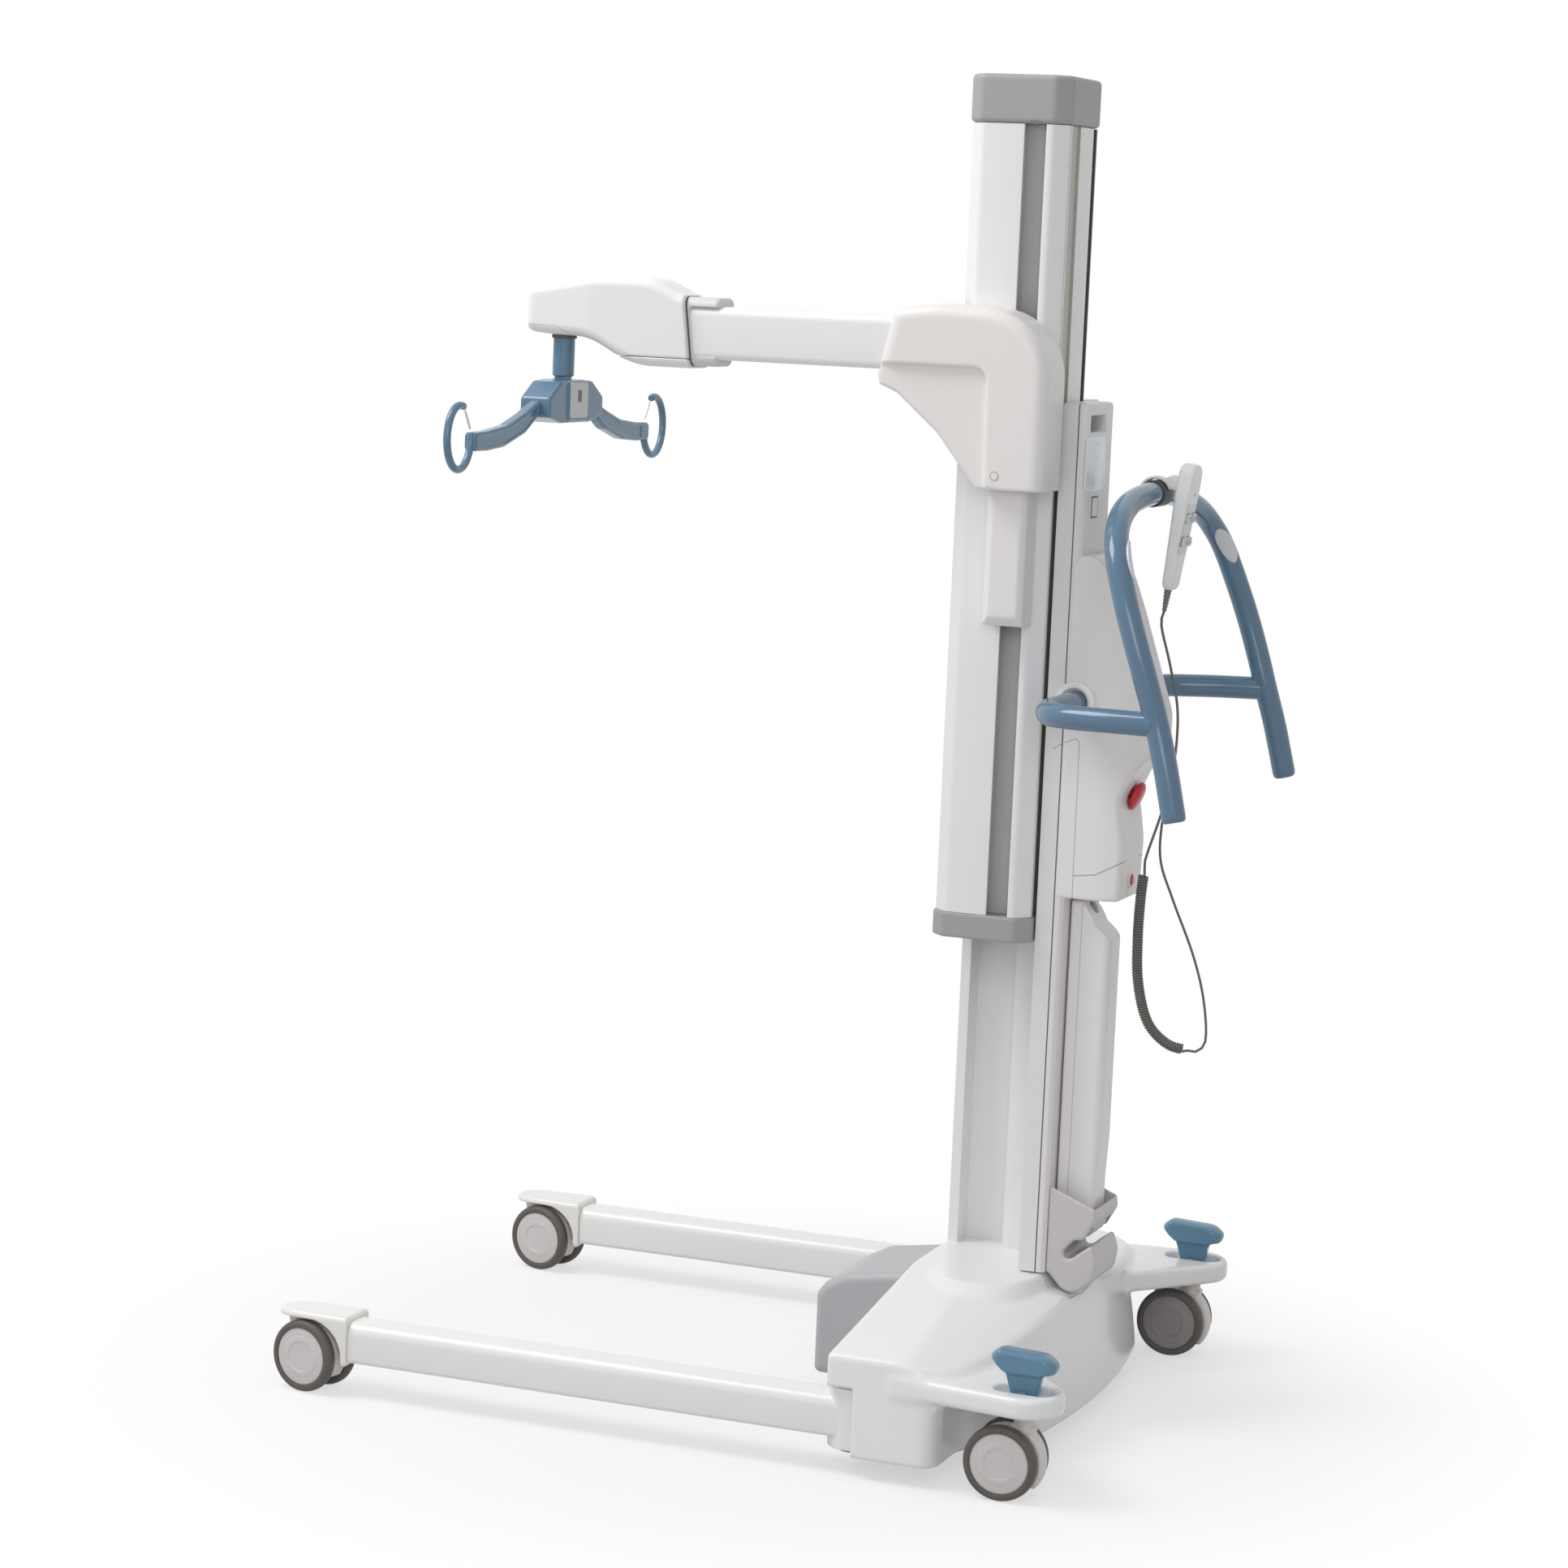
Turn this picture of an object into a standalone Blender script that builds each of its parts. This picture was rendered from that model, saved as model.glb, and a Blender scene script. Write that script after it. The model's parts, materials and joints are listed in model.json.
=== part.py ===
"""Patient floor lift: a wheeled base with two splaying legs, a two-stage side-by-side mast,
a boom with a swinging spreader bar, and a control column with push handle and handset.

Metres, +Z up. X = 0 is the middle of the base, the legs point to -Y, and +X is the boom side.
The floor is z = 0. Run it with blender --background --python part.py.
"""
import math

import bmesh
import bpy
from mathutils import Matrix, Vector

# Fits and clearances
GAP = 0.0003            # between pieces that touch
SLIDE_GAP = 0.0006      # between pieces that slide on each other
RUN_GAP = 0.0015        # round wheels and other pieces that swing past a neighbour

# Casters: twin wheels on a hood, trailing behind a swivel stem
WHEEL_RADIUS = 0.050
WHEEL_WIDTH = 0.019
TYRE_THICKNESS = 0.0075
CASTER_WIDTH = 0.066
CASTER_TRAIL = 0.0225
HOOD_WIDTH = 0.025
HOOD_REACH = 0.0535     # radius of the hood round the axle on the stem side
COLLAR_RADIUS = 0.0165
STEM_RADIUS = 0.008
STEM_LENGTH = 0.006
AXLE_RADIUS = 0.004
WHEEL_STEPS = 16

# Base cover, a moulded shell that is open below
COVER_HALF_WIDTH = 0.430
COVER_BOTTOM = 0.027
COVER_WALL = 0.003
COVER_FRONT = 0.200     # front face in the middle
COVER_FRONT_BOW = 0.008  # how far the front face has moved back at the ends
COVER_REAR = 0.449      # rear face in the middle, at the bottom
COVER_REAR_BOW = 0.320  # the rear face is a parabola in X with this factor
COVER_REAR_LEAN = 0.024
ROOF_MIDDLE = 0.211
ROOF_SIDE = 0.160
ROOF_REAR_FALL = 0.045
PLATFORM_MIDDLE = 0.270
PLATFORM_HALF_X = 0.235
PLATFORM_HALF_Y = 0.125

# Rear arms of the base and their casters
REAR_STEM_X = 0.400
REAR_STEM_Y = 0.4725
ARM_BOTTOM = 0.116
ARM_TOP = 0.145
ARM_END_RADIUS = 0.0515
WELL_INNER = 0.300      # inner wall of the room for a rear caster
WELL_FRONT = 0.362      # its front wall
WELL_FILLET = 0.045
SKIRT_CORNER = 0.036    # the skirt turns this corner into the room

# Brake pedals
PEDAL_X = 0.404
PEDAL_Z = 0.1395        # pivot height
PEDAL_PIN_RADIUS = 0.003
PEDAL_WEB = 0.009       # half width of the pedal's stem

# Legs, hung at the ends of the frame's cross beam
BEAM_HALF_X = 0.345
HINGE_X = BEAM_HALF_X + 0.043
LEG_X = HINGE_X + 0.002
LEG_WIDTH = 0.060
LEG_BOTTOM = 0.048
LEG_TOP = 0.104
LEG_WALL = 0.003
LEG_END = -0.494        # where the tube meets the front caster housing
HINGE_Y = 0.235
KNUCKLE_RADIUS = 0.034
KNUCKLE_BOTTOM = 0.0335
KNUCKLE_TOP = 0.116
HINGE_PIN_RADIUS = 0.008
LUG_THICKNESS = 0.006
FRONT_STEM_Y = -0.578
FRONT_HOUSING_TOP = 0.112
FRONT_HOUSING_HALF = 0.034
FRONT_ROOM_GAP = 0.0035     # between the turning front caster and the dome over it
FRONT_CASTER_TURN = 168.5   # degrees; 0 trails to -Y

# Steel frame in the base
BEAM_BOTTOM = 0.036
BEAM_TOP = 0.112
BEAM_DEPTH = 0.040
PLATE_BOTTOM = 0.1193
PLATE_THICKNESS = 0.0084

# Leg actuator and its cover at the front
ACTUATOR_HALF = 0.100
ACTUATOR_FRONT = 0.068
ACTUATOR_BOTTOM = 0.036
ACTUATOR_TOP = 0.166
ACTUATOR_WALL = 0.004
ACTUATOR_MOTOR_RADIUS = 0.034

LIFT_MOTOR_RADIUS = 0.030
LIFT_SCREW_RADIUS = 0.010

# Masts: two extrusions side by side, the fixed one on the -X side
MAST_RIGHT = 0.085      # boom-side face of the moving mast
MAST_LEFT = -0.055      # face of the moving mast that slides on the fixed one
MAST_FRONT = 0.2045
MAST_REAR = 0.3425
MAST_CHAMFER = 0.020
MAST_BOTTOM = 0.702
MAST_TOP = 1.765
MAST_WALL = 0.004
SLOT_MIDDLE = 0.299
SLOT_MOUTH = 0.030
SLOT_LIP = 0.004
SLOT_WIDTH = 0.046
SLOT_DEPTH = 0.028
CAP_LIP = 0.0025
TOP_CAP_HEIGHT = 0.065
BOTTOM_CAP_HEIGHT = 0.035
FIXED_LEFT = -0.130
FIXED_FRONT = 0.206
FIXED_TOP = 1.400
RECESS_FRONT = 0.220
RECESS_REAR = 0.287
RECESS_DEPTH = 0.040
KEY_BOTTOM = 0.720
KEY_TOP = 1.150

# Carriage on the boom side of the moving mast
ELBOW_RIGHT = 0.170
ELBOW_BOTTOM = 1.283
WEB_DEPTH = 0.012
BOX_RIGHT = 0.135
BOX_BOTTOM = 1.100
BOOM_X = 0.130
BOOM_WIDTH = 0.060
BOOM_WALL = 0.003
BOOM_BOTTOM = 1.434
BOOM_TOP = 1.506
BOOM_END = -0.250
BOOM_ROOT = 0.195
HEAD_WIDTH = 0.080

# Spreader bar under the jib head
HANGER_Y = -0.352
POST_RADIUS = 0.015
POST_TOP = 1.4545
POST_BOTTOM = 1.3985
TILT_Z = 1.372
TONGUE_WIDTH = 0.024
TONGUE_THICK = 0.016
BLOCK_HALF = 0.090
BLOCK_TOP = 1.396
BLOCK_BOTTOM = 1.340
BLOCK_HALF_DEPTH = 0.025
LOOP_X = 0.325
LOOP_Z = 1.324
LOOP_HALF_WIDTH = 0.036
LOOP_HALF_HEIGHT = 0.042
LOOP_WIRE = 0.0052
GATE_WIRE = 0.0016

# Control column behind the masts
COLUMN_HALF = 0.060
COLUMN_FRONT = 0.348
COLUMN_REAR = 0.385
COLUMN_TOP = 1.400
COLUMN_CHAMFER = 0.010
COLUMN_JOINT = 0.3715   # where the two halves of the column meet
COLUMN_GROOVE = 0.0015  # width and depth of the parting groove
SHELL_TOP = 1.185
SHELL_BOTTOM = 0.732
HANDLE_Y = 0.388
HANDLE_Z = 0.999
HANDLE_RADIUS = 0.016
BOSS_RADIUS = 0.0285
BOSS_HEIGHT = 0.008

# Battery and its holder
BATTERY_HALF = 0.030
BATTERY_FRONT = 0.3875
BATTERY_REAR = 0.445
BATTERY_BOTTOM = 0.290
BATTERY_TOP = 0.726
HOLDER_HALF = 0.055

# Handset, leaning back on the handle
HANDSET_X = -0.006
HANDSET_WIDTH = 0.056
HANDSET_THICK = 0.028
HANDSET_LENGTH = 0.172
HANDSET_MIDDLE = (0.5005, 1.240)
HANDSET_LEAN = 7.4      # degrees, top to the rear
KEY_SIZE = 0.012
KEY_PROUD = 0.0018

# Cord
CORD_RADIUS = 0.0018
CURL_RADIUS = 0.0056    # of the cord's centre line round the coil's middle
CURL_COUNT = 34
CURL_POINTS = 8

SIDES = (("left", 1.0), ("right", -1.0))

for old in list(bpy.data.objects):
    bpy.data.objects.remove(old, do_unlink=True)

PARTS = bpy.data.collections.new("patient_floor_lift")
CUTTERS = bpy.data.collections.new("cutters")
bpy.context.scene.collection.children.link(PARTS)
bpy.context.scene.collection.children.link(CUTTERS)


def finish_of(name, colour, roughness, metallic=0.0):
    """One Principled material."""
    made = bpy.data.materials.new(name)
    made.use_nodes = True
    shader = made.node_tree.nodes["Principled BSDF"]
    shader.inputs["Base Color"].default_value = (*colour, 1.0)
    shader.inputs["Roughness"].default_value = roughness
    shader.inputs["Metallic"].default_value = metallic
    return made


WHITE = ((0.86, 0.86, 0.86), 0.32)
WARM_WHITE = ((0.74, 0.71, 0.69), 0.38)
LIGHT_GREY = ((0.62, 0.62, 0.64), 0.42)
CAP_GREY = ((0.38, 0.38, 0.38), 0.45)
LILAC = ((0.56, 0.55, 0.60), 0.45)
BLUE = ((0.11, 0.22, 0.31), 0.33)
TYRE = ((0.09, 0.08, 0.075), 0.55)
DARK = ((0.03, 0.03, 0.03), 0.5)
STEEL = ((0.50, 0.50, 0.50), 0.3, 1.0)
RED = ((0.55, 0.02, 0.02), 0.35)
CORD_GREY = ((0.13, 0.12, 0.11), 0.55)


def link(obj, finish):
    """Name the mesh, give the object its own material and put it with the parts."""
    PARTS.objects.link(obj)
    obj.data.name = obj.name
    obj.data.materials.clear()
    obj.data.materials.append(finish_of(obj.name + "_finish", *finish))
    obj.data.shade_smooth()
    obj.data.set_sharp_from_angle(angle=math.radians(32))
    return obj


def as_cutter(obj):
    """A tool body: it shapes other pieces and isn't one itself."""
    CUTTERS.objects.link(obj)
    obj.hide_render = True
    obj.display_type = 'WIRE'
    return obj


def tidy(mesh, flatten):
    """Weld and turn the faces outward; flatten also drops the edges inside flat faces."""
    work = bmesh.new()
    work.from_mesh(mesh)
    bmesh.ops.remove_doubles(work, verts=work.verts, dist=0.000005)
    if flatten:
        bmesh.ops.dissolve_limit(work, angle_limit=math.radians(0.5), verts=work.verts, edges=work.edges)
    bmesh.ops.recalc_face_normals(work, faces=work.faces)
    work.to_mesh(mesh)
    work.free()


def mesh_of(obj, flatten=True):
    """The evaluated object as a plain mesh object with the same name; the source is removed."""
    bpy.context.scene.collection.objects.link(obj)
    bpy.context.view_layer.update()
    evaluated = obj.evaluated_get(bpy.context.evaluated_depsgraph_get())
    mesh = bpy.data.meshes.new_from_object(evaluated)
    place = obj.matrix_world.copy()
    name = obj.name
    bpy.data.objects.remove(obj, do_unlink=True)
    mesh.transform(place)
    tidy(mesh, flatten)
    made = bpy.data.objects.new(name, mesh)
    return made


def box(name, low, high):
    """A cuboid between two corners."""
    mesh = bpy.data.meshes.new(name)
    work = bmesh.new()
    bmesh.ops.create_cube(work, size=1.0)
    size = [abs(b - a) for a, b in zip(low, high)]
    middle = [(a + b) / 2 for a, b in zip(low, high)]
    bmesh.ops.scale(work, vec=size, verts=work.verts)
    bmesh.ops.translate(work, vec=middle, verts=work.verts)
    work.to_mesh(mesh)
    work.free()
    return bpy.data.objects.new(name, mesh)


def rod(name, start, end, radius, end_radius=None, steps=20):
    """A round bar or cone between two points."""
    start, end = Vector(start), Vector(end)
    mesh = bpy.data.meshes.new(name)
    work = bmesh.new()
    bmesh.ops.create_cone(work, cap_ends=True, segments=steps, radius1=radius,
                          radius2=radius if end_radius is None else end_radius,
                          depth=(end - start).length)
    turn = Vector((0, 0, 1)).rotation_difference(end - start).to_matrix().to_4x4()
    bmesh.ops.transform(work, matrix=Matrix.Translation((start + end) / 2) @ turn, verts=work.verts)
    work.to_mesh(mesh)
    work.free()
    return bpy.data.objects.new(name, mesh)


def rounded(corners, steps=4):
    """An outline from (u, v) corners, with an arc at each corner that gives a radius (u, v, r)."""
    points = []
    count = len(corners)
    for i, corner in enumerate(corners):
        here = Vector(corner[:2])
        radius = corner[2] if len(corner) > 2 else 0.0
        if not radius:
            points.append(here)
            continue
        back = (Vector(corners[i - 1][:2]) - here).normalized()
        ahead = (Vector(corners[(i + 1) % count][:2]) - here).normalized()
        half = back.angle(ahead) / 2
        middle = here + (back + ahead).normalized() * radius / math.sin(half)
        first = here + back * radius / math.tan(half) - middle
        last = here + ahead * radius / math.tan(half) - middle
        sweep = first.angle_signed(last)
        for k in range(steps + 1):
            turn = Matrix.Rotation(-sweep * k / steps, 2)
            points.append(middle + turn @ first)
    return points


def arc(middle, radius, start, end, steps):
    """Points on an arc, angles in degrees."""
    points = []
    for k in range(steps + 1):
        angle = math.radians(start + (end - start) * k / steps)
        points.append(Vector((middle[0] + radius * math.cos(angle),
                              middle[1] + radius * math.sin(angle))))
    return points


PLANES = {
    "yz": Matrix(((0, 0, 1, 0), (1, 0, 0, 0), (0, 1, 0, 0), (0, 0, 0, 1))),
    "xz": Matrix(((1, 0, 0, 0), (0, 0, -1, 0), (0, 1, 0, 0), (0, 0, 0, 1))),
    "xy": Matrix.Identity(4),
}


def prism(name, plane, outlines, low, high):
    """Flat outlines, the first one outside and the others holes, drawn out from low to high."""
    if not isinstance(outlines[0], list):
        outlines = [outlines]
    curve = bpy.data.curves.new(name, 'CURVE')
    curve.dimensions = '2D'
    curve.fill_mode = 'BOTH'
    curve.extrude = (high - low) / 2
    for outline in outlines:
        spline = curve.splines.new('POLY')
        spline.points.add(len(outline) - 1)
        spline.use_cyclic_u = True
        for point, (u, v) in zip(spline.points, outline):
            point.co = (u, v, 0.0, 1.0)
    obj = bpy.data.objects.new(name, curve)
    middle = (low + high) / 2
    along = -middle if plane == "xz" else middle
    obj.matrix_world = PLANES[plane] @ Matrix.Translation((0, 0, along))
    return mesh_of(obj)


def tube(name, points, radius, resolution=3):
    """A round bar along points, with filled ends."""
    curve = bpy.data.curves.new(name, 'CURVE')
    curve.dimensions = '3D'
    curve.bevel_depth = radius
    curve.bevel_resolution = resolution
    curve.use_fill_caps = True
    spline = curve.splines.new('POLY')
    spline.points.add(len(points) - 1)
    for point, place in zip(spline.points, points):
        point.co = (*place, 1.0)
    return mesh_of(bpy.data.objects.new(name, curve))


def turned(name, profile, place, steps=24, closed=False):
    """A profile of (radius, height) points turned round Z, then moved by the matrix place."""
    mesh = bpy.data.meshes.new(name)
    count = len(profile)
    edges = [(i, i + 1) for i in range(count - 1)]
    if closed:
        edges.append((count - 1, 0))
    mesh.from_pydata([(r, 0.0, h) for r, h in profile], edges, [])
    obj = bpy.data.objects.new(name, mesh)
    screw = obj.modifiers.new("turn", 'SCREW')
    screw.steps = steps
    screw.render_steps = steps
    screw.use_merge_vertices = True
    screw.merge_threshold = 0.00001
    obj.matrix_world = place
    return mesh_of(obj)


def smooth_path(points, count):
    """A smooth curve through chosen points (Catmull-Rom), read at even parameter steps."""
    route = [Vector(p) for p in points]
    route = [2 * route[0] - route[1]] + route + [2 * route[-1] - route[-2]]
    spans = len(route) - 3
    found = []
    for k in range(count):
        along = k / (count - 1) * spans
        i = min(int(along), spans - 1)
        t = along - i
        a, b, c, d = route[i:i + 4]
        found.append(0.5 * (2 * b + (c - a) * t + (2 * a - 5 * b + 4 * c - d) * t ** 2
                            + (3 * b - a - 3 * c + d) * t ** 3))
    return found


def even_path(points, step):
    """The same smooth curve, read about every step metres along its length."""
    fine = smooth_path(points, 400)
    length = sum((b - a).length for a, b in zip(fine, fine[1:]))
    count = max(2, round(length / step))
    found = [fine[0]]
    travelled = 0.0
    for a, b in zip(fine, fine[1:]):
        travelled += (b - a).length
        if travelled >= length * len(found) / count and len(found) < count:
            found.append(b)
    found.append(fine[-1])
    return found


def soften(obj, width, segments=2, angle=35):
    """Round the sharp edges."""
    bevel = obj.modifiers.new("soften", 'BEVEL')
    bevel.width = width
    bevel.segments = segments
    bevel.limit_method = 'ANGLE'
    bevel.angle_limit = math.radians(angle)
    return obj


def shape(obj, tool, operation):
    """Cut, join or intersect with a tool body."""
    as_cutter(tool)
    step = obj.modifiers.new(operation.lower(), 'BOOLEAN')
    step.operation = operation
    step.solver = 'EXACT'
    step.object = tool
    return obj


def cut(obj, tool):
    return shape(obj, tool, 'DIFFERENCE')


def join(obj, tool):
    return shape(obj, tool, 'UNION')


def baked(obj):
    """The object with its modifiers applied, ready to shape another one."""
    return mesh_of(obj, flatten=False)


def hinge_at(obj, point):
    """Move the origin to the joint, leaving the piece where it is."""
    obj.data.transform(Matrix.Translation(-Vector(point)))
    obj.location = point
    return obj


def turned_along(axis, point):
    """A matrix that lays the local Z axis along axis, at point."""
    turn = Vector((0, 0, 1)).rotation_difference(Vector(axis)).to_matrix().to_4x4()
    return Matrix.Translation(point) @ turn


# Base cover

def smoothstep(low, high, value):
    t = min(1.0, max(0.0, (value - low) / (high - low)))
    return t * t * (3 - 2 * t)


def front_of(x):
    return COVER_FRONT + COVER_FRONT_BOW * abs(x) / COVER_HALF_WIDTH


def rear_of(x):
    return COVER_REAR - COVER_REAR_BOW * x * x


def roof_of(x, y):
    """Height of the cover's top: a low roof that falls to the sides and the rear, with a flat
    oval platform round the foot of the masts."""
    ridge = ROOF_MIDDLE - (ROOF_MIDDLE - ROOF_SIDE) * abs(x) / COVER_HALF_WIDTH
    behind = max(0.0, y - 0.30) / (COVER_REAR - COVER_REAR_LEAN - 0.30)
    roof = ridge - ROOF_REAR_FALL * behind ** 1.5
    oval = math.hypot(x / PLATFORM_HALF_X, (y - PLATFORM_MIDDLE) / PLATFORM_HALF_Y)
    step = 1 - smoothstep(0.96, 1.20, oval)
    return roof + (ROOF_MIDDLE - roof) * step


def cover_section(x, drop, wall):
    """The cover's outline in Y and z at one x, from the front foot over the top to the rear."""
    front = front_of(x) + wall
    rear = rear_of(x) - wall
    crest = rear - COVER_REAR_LEAN
    foot = COVER_BOTTOM - (0.02 if wall else 0.0)
    low = wall + drop
    points = [(front, foot), (front, roof_of(x, front) - low - 0.012),
              (front + 0.0035, roof_of(x, front) - low - 0.0035)]
    for k in range(8):
        y = front + 0.012 + (crest - front - 0.012) * k / 7
        points.append((y, roof_of(x, y) - low))
    points.append((crest + 0.010, roof_of(x, crest) - low - 0.007))
    points.append((crest + 0.016, roof_of(x, crest) - low - 0.024))
    points.append((rear, foot))
    return points


def cover_body(name, wall):
    """The loft of the cover's sections; wall moves every face inward."""
    half = COVER_HALF_WIDTH - wall
    stations = [(half, 0.020), (half - 0.0025, 0.010), (half - 0.010, 0.003), (half - 0.022, 0.0),
                (0.33, 0.0), (0.26, 0.0), (0.21, 0.0), (0.14, 0.0), (0.0, 0.0)]
    if wall:
        stations = [(half, 0.014), (half - 0.012, 0.003)] + stations[4:]
    stations = stations + [(-x, drop) for x, drop in reversed(stations[:-1])]
    work = bmesh.new()
    rows = []
    for x, drop in stations:
        rows.append([work.verts.new((x, y, z)) for y, z in cover_section(x, drop, wall)])
    for row, following in zip(rows, rows[1:]):
        for i in range(len(row)):
            j = (i + 1) % len(row)
            work.faces.new((row[i], row[j], following[j], following[i]))
    work.faces.new(rows[0])
    work.faces.new(list(reversed(rows[-1])))
    bmesh.ops.recalc_face_normals(work, faces=work.faces)
    mesh = bpy.data.meshes.new(name)
    work.to_mesh(mesh)
    work.free()
    return bpy.data.objects.new(name, mesh)


def arm_outline(side, inset):
    """Plan of a rear arm: from under the cover's top to a round end over the caster."""
    radius = ARM_END_RADIUS - inset
    end = arc((REAR_STEM_X, REAR_STEM_Y), radius, 0, 130, 7)
    root = [(0.240, 0.4066 - 1.3 * inset), (0.240, 0.300), (COVER_HALF_WIDTH - 0.0015 - inset, 0.300)]
    points = [Vector(p) for p in root] + end
    return [Vector((side * p.x, p.y)) for p in points]


def well_outline(side, wall):
    """Plan of the room for a rear caster, open to the side and the rear; wall moves it into the cover."""
    corner_x = COVER_HALF_WIDTH + 0.001 - wall
    points = rounded([(WELL_INNER - wall, 0.60), (WELL_INNER - wall, WELL_FRONT - wall, WELL_FILLET + wall),
                      (corner_x, WELL_FRONT - wall, SKIRT_CORNER - wall), (corner_x, WELL_FRONT - 0.05),
                      (0.50, WELL_FRONT - 0.05), (0.50, 0.60)], steps=6)
    return [Vector((side * p.x, p.y)) for p in points]


def make_base_cover():
    cover = cover_body("base_cover", 0.0)
    hollow = cover_body("cover_hollow", COVER_WALL)
    for name, side in SIDES:
        arm = soften(prism("arm_" + name, "xy", arm_outline(side, 0.0), ARM_BOTTOM, ARM_TOP), 0.006,
                     segments=1)
        join(cover, baked(arm))
    for name, side in SIDES:
        cut(cover, prism("well_" + name, "xy", well_outline(side, 0.0), 0.0, ARM_BOTTOM))
        cut(hollow, prism("well_wall_" + name, "xy", well_outline(side, COVER_WALL), -0.01,
                          ARM_BOTTOM + COVER_WALL))
    cut(cover, baked(hollow))
    plate_room = PLATE_BOTTOM + PLATE_THICKNESS + GAP
    for name, side in SIDES:
        stem = (side * REAR_STEM_X, REAR_STEM_Y)
        room = prism("arm_room_" + name, "xy", arm_outline(side, COVER_WALL + 0.001),
                     PLATE_BOTTOM - GAP, plate_room)
        cut(cover, room)
        cut(cover, rod("stem_hole_" + name, (*stem, ARM_BOTTOM - 0.002), (*stem, PLATE_BOTTOM + 0.001),
                       COLLAR_RADIUS + RUN_GAP, steps=16))
        recess = prism("pedal_recess_" + name, "xy",
                       rounded([(side * PEDAL_X - 0.020, 0.432, 0.018),
                                (side * PEDAL_X + 0.020, 0.432, 0.018),
                                (side * PEDAL_X + 0.020, 0.512, 0.018), (side * PEDAL_X - 0.020, 0.512,
                                        0.018)],
                               steps=3),
                       plate_room + COVER_WALL, ARM_TOP + 0.02)
        cut(cover, recess)
        for flank in (1, -1):
            post = side * PEDAL_X + flank * 0.013
            cut(cover, box("post_hole_%s_%d" % (name, flank),
                           (post - 0.0035, REAR_STEM_Y - 0.006, PLATE_BOTTOM),
                           (post + 0.0035, REAR_STEM_Y + 0.006, ARM_TOP)))
        notch = box("hinge_notch_" + name, (side * BEAM_HALF_X, 0.15, 0.0),
                    (side * (COVER_HALF_WIDTH + 0.05), HINGE_Y + 0.011, KNUCKLE_TOP + 0.003))
        cut(cover, notch)
    cut(cover, box("actuator_opening", (-0.045, COVER_FRONT - 0.01, 0.045),
                   (0.045, COVER_FRONT + 0.012, 0.125)))
    cut(cover, box("mast_opening", (FIXED_LEFT - 0.0005, FIXED_FRONT - 0.001, 0.15),
                   (MAST_LEFT, MAST_REAR + 0.0005, ROOF_MIDDLE + 0.02)))
    return link(cover, WHITE)


def make_base_frame():
    """Cross beam with hinge lugs, a foot plate for the mast and a wing plate to the rear casters."""
    half = BEAM_DEPTH / 2
    plate_top = PLATE_BOTTOM + PLATE_THICKNESS
    frame = box("base_frame", (-BEAM_HALF_X, HINGE_Y - half, BEAM_BOTTOM),
                (BEAM_HALF_X, HINGE_Y + half, plate_top - 0.001))
    join(frame, box("foot_plate", (-0.150, COVER_FRONT + 0.0075, PLATE_BOTTOM), (0.100, 0.395, plate_top)))
    wing = []
    for side in (1.0, -1.0):
        stem = Vector((REAR_STEM_X, REAR_STEM_Y))
        run = [Vector((0.170, 0.262))] + arc(stem, 0.022, -55, 127, 6) + [Vector((0.250, 0.385)),
                Vector((0.120, 0.345))]
        if side < 0:
            run = [Vector((-p.x, p.y)) for p in reversed(run)]
        wing += run
    join(frame, prism("wing_plate", "xy", wing, PLATE_BOTTOM + 0.0001, plate_top - 0.0001))
    screw = lift_screw_place()
    cut(frame, rod("screw_hole", (*screw, 0.1), (*screw, 0.2), LIFT_SCREW_RADIUS + GAP, steps=16))
    for name, side in SIDES:
        hinge = (side * HINGE_X, HINGE_Y)
        inner = side * (BEAM_HALF_X - 0.040)
        riser = box("lug_riser_" + name, (min(inner, side * BEAM_HALF_X) + 0.0002, HINGE_Y - half + 0.001,
                                          KNUCKLE_BOTTOM - GAP - LUG_THICKNESS),
                    (max(inner, side * BEAM_HALF_X) - 0.0002, HINGE_Y + half - 0.001,
                     KNUCKLE_TOP + GAP + LUG_THICKNESS))
        join(frame, riser)
        for level, low in (("top", KNUCKLE_TOP + GAP), ("bottom", KNUCKLE_BOTTOM - GAP - LUG_THICKNESS)):
            ear = [Vector((side * (BEAM_HALF_X - 0.030), HINGE_Y + 0.0185)),
                   Vector((side * (BEAM_HALF_X - 0.030), HINGE_Y - 0.0185))]
            ear += [Vector((side * p.x, p.y)) for p in arc((HINGE_X, HINGE_Y), 0.0185, -90, 90, 6)]
            join(frame, prism("lug_%s_%s" % (level, name), "xy", ear, low, low + LUG_THICKNESS))
        join(frame, rod("hinge_pin_" + name, (*hinge, KNUCKLE_BOTTOM - LUG_THICKNESS + 0.001),
                        (*hinge, KNUCKLE_TOP + LUG_THICKNESS - 0.001), HINGE_PIN_RADIUS, steps=16))
        pivot = Vector((side * PEDAL_X, REAR_STEM_Y, PEDAL_Z))
        for flank in (1, -1):
            join(frame, box("pedal_post_%s_%d" % (name, flank),
                            (pivot.x + flank * 0.0105, pivot.y - 0.005, PLATE_BOTTOM + 0.002),
                            (pivot.x + flank * 0.0155, pivot.y + 0.005, pivot.z + 0.005)))
        reach = Vector((0.013, 0, 0))
        join(frame, rod("pedal_pin_" + name, pivot - reach, pivot + reach, PEDAL_PIN_RADIUS, steps=8))
        stem = (side * REAR_STEM_X, REAR_STEM_Y)
        cut(frame, rod("stem_bore_" + name, (*stem, 0.1), (*stem, 0.2), STEM_RADIUS + GAP, steps=16))
    return link(frame, STEEL)


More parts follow.
